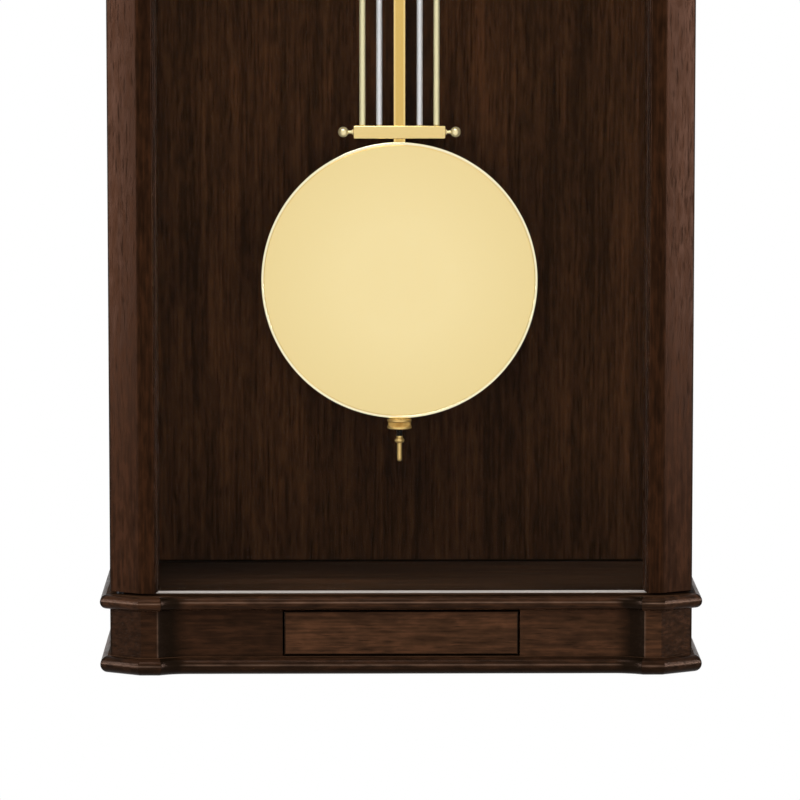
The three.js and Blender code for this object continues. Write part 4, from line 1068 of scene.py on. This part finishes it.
def leaf_hand(name, node, body, length, angle, bore):
    """A hand of two blades and a hub ring."""
    low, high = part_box(node)
    shares = np.linspace(neck_start, 1, 60)
    back = np.linspace(tail_start, hand_tail, 8)
    back_half = neck_half * (1 + tail_flare * (back / hand_tail) ** 2)
    hub = [
        [bore, high.y],
        [hub_radius, high.y],
        [hub_radius, low.y + hub_ease],
        [hub_radius - hub_ease, low.y],
        [bore, low.y],
        [bore, high.y],
    ]
    pieces = [
        blade(length * shares, leaf_width(shares), angle, high.y, low.y),
        blade(back, back_half, angle + math.pi, high.y, low.y),
        turned(hub, (0, 0, 0), ALONG_Y),
    ]
    fitted(piece_of(name, *pieces), hand_black, body, "black", node)


hour_length = 0.062
hour_angle = math.radians(305)
pipe_bore = 0.0046
minute_length = 0.093
minute_angle = math.radians(60)
arbor_bore = 0.0027
leaf_hand("leaf_hour_hand", "hour_hand", "hour_pipe", hour_length, hour_angle, pipe_bore)
leaf_hand("leaf_minute_hand", "minute_hand", "minute_arbor", minute_length, minute_angle, arbor_bore)
hand_nut_low, hand_nut_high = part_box("hand_nut")
hand_nut_face = 0.0004
knurl = 0.00012
hand_nut_rear = [arbor_bore, hand_nut_high.y, 0]
hand_nut_side = [
    [0.0002, 0, 0],
    [knurl, 0.0003, knurl],
    [knurl, 0.0013, knurl],
    [0.0003, 0.0016, 0],
    [0.0007, 0.0022, 0],
]
hand_nut_profile = [
    hand_nut_rear,
    *[[hand_nut_high.x - inset, hand_nut_high.y - depth, flute] for inset, depth, flute in hand_nut_side],
    [arbor_bore + hand_nut_face, hand_nut_low.y, 0],
    [arbor_bore, hand_nut_low.y, 0],
    hand_nut_rear,
]
hand_nut_skin = turned(hand_nut_profile, (0, 0, 0), ALONG_Y, circle(288), flutes=36)
hand_nut = piece_of("knurled_hand_nut", hand_nut_skin)
fitted(hand_nut, turned_brass, "minute_arbor", "brass", "hand_nut")

# Movement and chime: cut brass plates, wheels and barrels, steel levers and pins, and a cast iron rod
# block. They are the solids themselves; plates are grained upright and turned work is left bright.
plate_brass = metal("brass_plate", brass_shades, 0.30, (700.0, 700.0, 30.0))
grey_steel = metal("steel_ground", steel_shades, 0.28, (500.0, 500.0, 500.0))
iron_shades = [(0.045, 0.043, 0.041, 1), (0.105, 0.100, 0.095, 1)]
cast_iron = metal("iron_cast", iron_shades, 0.52, (900.0, 900.0, 900.0), 0.2)
dress(plate_brass, "movement_front_plate", "movement_back_plate", "suspension_cock")
dress(turned_brass, "strike_barrel", "time_barrel", "chime_barrel", "chime_drum", "winding_key")
dress(turned_brass, "centre_wheel", "third_wheel", "escape_wheel", "minute_wheel", "hour_wheel")
dress(grey_steel, "anchor_with_crutch", "suspension_spring", "hanger_plate", "door_strike_plate")
dress(grey_steel, "hammer_rail", "hammer_1", "hammer_2", "hammer_3", "hammer_4")
dress(cast_iron, "chime_rods_on_block")
dress(black_steel, "door_magnet", "lower_hinge_pin", "upper_hinge_pin")

# Studio: a pale floor that fades into a white backdrop, two tall softboxes at the sides, a light from
# above, a large front card that mirrors don't show, and the camera at the photograph's angle.


def looked_at(nodes):
    """One for a ray from the camera, a mirror or a pane, and none for a ray that only gathers light."""
    seen = nodes.node("LightPath", output="Is Camera Ray")
    for ray in ("Is Glossy Ray", "Is Transmission Ray"):
        seen = seen.math("MAXIMUM", seen, nodes.node("LightPath", output=ray))
    return seen


floor_z = -1.0
floor_half = 6.0
fade_start = 0.5
fade_end = 1.2
floor_shades = [(0.800, 0.800, 0.800, 1), (0.840, 0.840, 0.840, 1)]
pale = Finish("pale_floor")
grid = pale.node("TexCoord", output="Object")
grain = pale.node("TexNoise", inputs={"Vector": grid, "Scale": 60.0, "Detail": 2.0})
pale.set(Base_Color=pale.mix(grain, *floor_shades), Roughness=0.9)
off_clock = pale.node("VectorMath", {"operation": "LENGTH"}, {0: grid}, output="Value")
fade = pale.node("MapRange", inputs={"Value": off_clock, "From Min": fade_start, "From Max": fade_end})
surface = Value(pale.tree, pale.shader.outputs[0])
layers = {0: looked_at(pale) * fade, 1: surface, 2: pale.node("Emission")}
plug(pale.tree, pale.tree.nodes["Material Output"].inputs[0], pale.node("MixShader", inputs=layers))
floor_mesh = bpy.data.meshes.new("floor")
floor_corners = [(-1, -1), (1, -1), (1, 1), (-1, 1)]
floor_points = [(x * floor_half, y * floor_half, floor_z) for x, y in floor_corners]
floor_mesh.from_pydata(floor_points, [], [range(4)])
floor = bpy.data.objects.new("floor", floor_mesh)
floor_mesh.materials.append(pale.material)
bpy.context.scene.collection.objects.link(floor)

world = bpy.data.worlds.new("backdrop")
bpy.context.scene.world = world
world.use_nodes = True
sky = Nodes(world.node_tree)
backdrop = sky.tree.nodes["Background"]
backdrop.inputs["Color"].default_value = (1, 1, 1, 1)
fill_strength = 0.20
plug(sky.tree, backdrop.inputs["Strength"], fill_strength + (1 - fill_strength) * looked_at(sky))


def softbox(name, place, target, size, power):
    """A rectangular light at a place, turned to face the target."""
    light = bpy.data.lights.new(name, "AREA")
    light.shape = "RECTANGLE"
    light.size, light.size_y = size
    light.energy = power
    lamp = bpy.data.objects.new(name, light)
    lamp.location = place
    lamp.rotation_euler = (Vector(target) - Vector(place)).to_track_quat("-Z", "Y").to_euler()
    bpy.context.scene.collection.objects.link(lamp)
    return lamp


middle_of_view = (-0.0008, -case_depth, -0.4936)
softbox("left_softbox", (-2.28, -1.07, 0.12), middle_of_view, (0.5, 1.8), 74)
softbox("right_softbox", (2.28, -1.07, 0.12), middle_of_view, (0.5, 1.8), 82)
softbox("top_light", (-0.6, -1.5, 2.3), middle_of_view, (1.4, 1.4), 50)
front_card = softbox("front_card", (-0.2, -3.7, 0.35), middle_of_view, (4.8, 2.8), 30)
front_card.visible_glossy = False

camera_distance = 2.85
camera_pitch = math.radians(6.75)
camera_yaw = math.radians(-0.6)
camera_lens = 222.7
camera = bpy.data.objects.new("camera", bpy.data.cameras.new("camera"))
camera.data.lens = camera_lens
camera.data.sensor_width = 36.0
camera.data.clip_end = 60.0
aim = Vector(middle_of_view)
camera.rotation_euler = (math.pi / 2 - camera_pitch, 0, camera_yaw)
camera.location = aim + camera.rotation_euler.to_matrix() @ Vector((0, 0, camera_distance))
bpy.context.scene.collection.objects.link(camera)
bpy.context.scene.camera = camera
bpy.context.scene.view_settings.view_transform = "Standard"
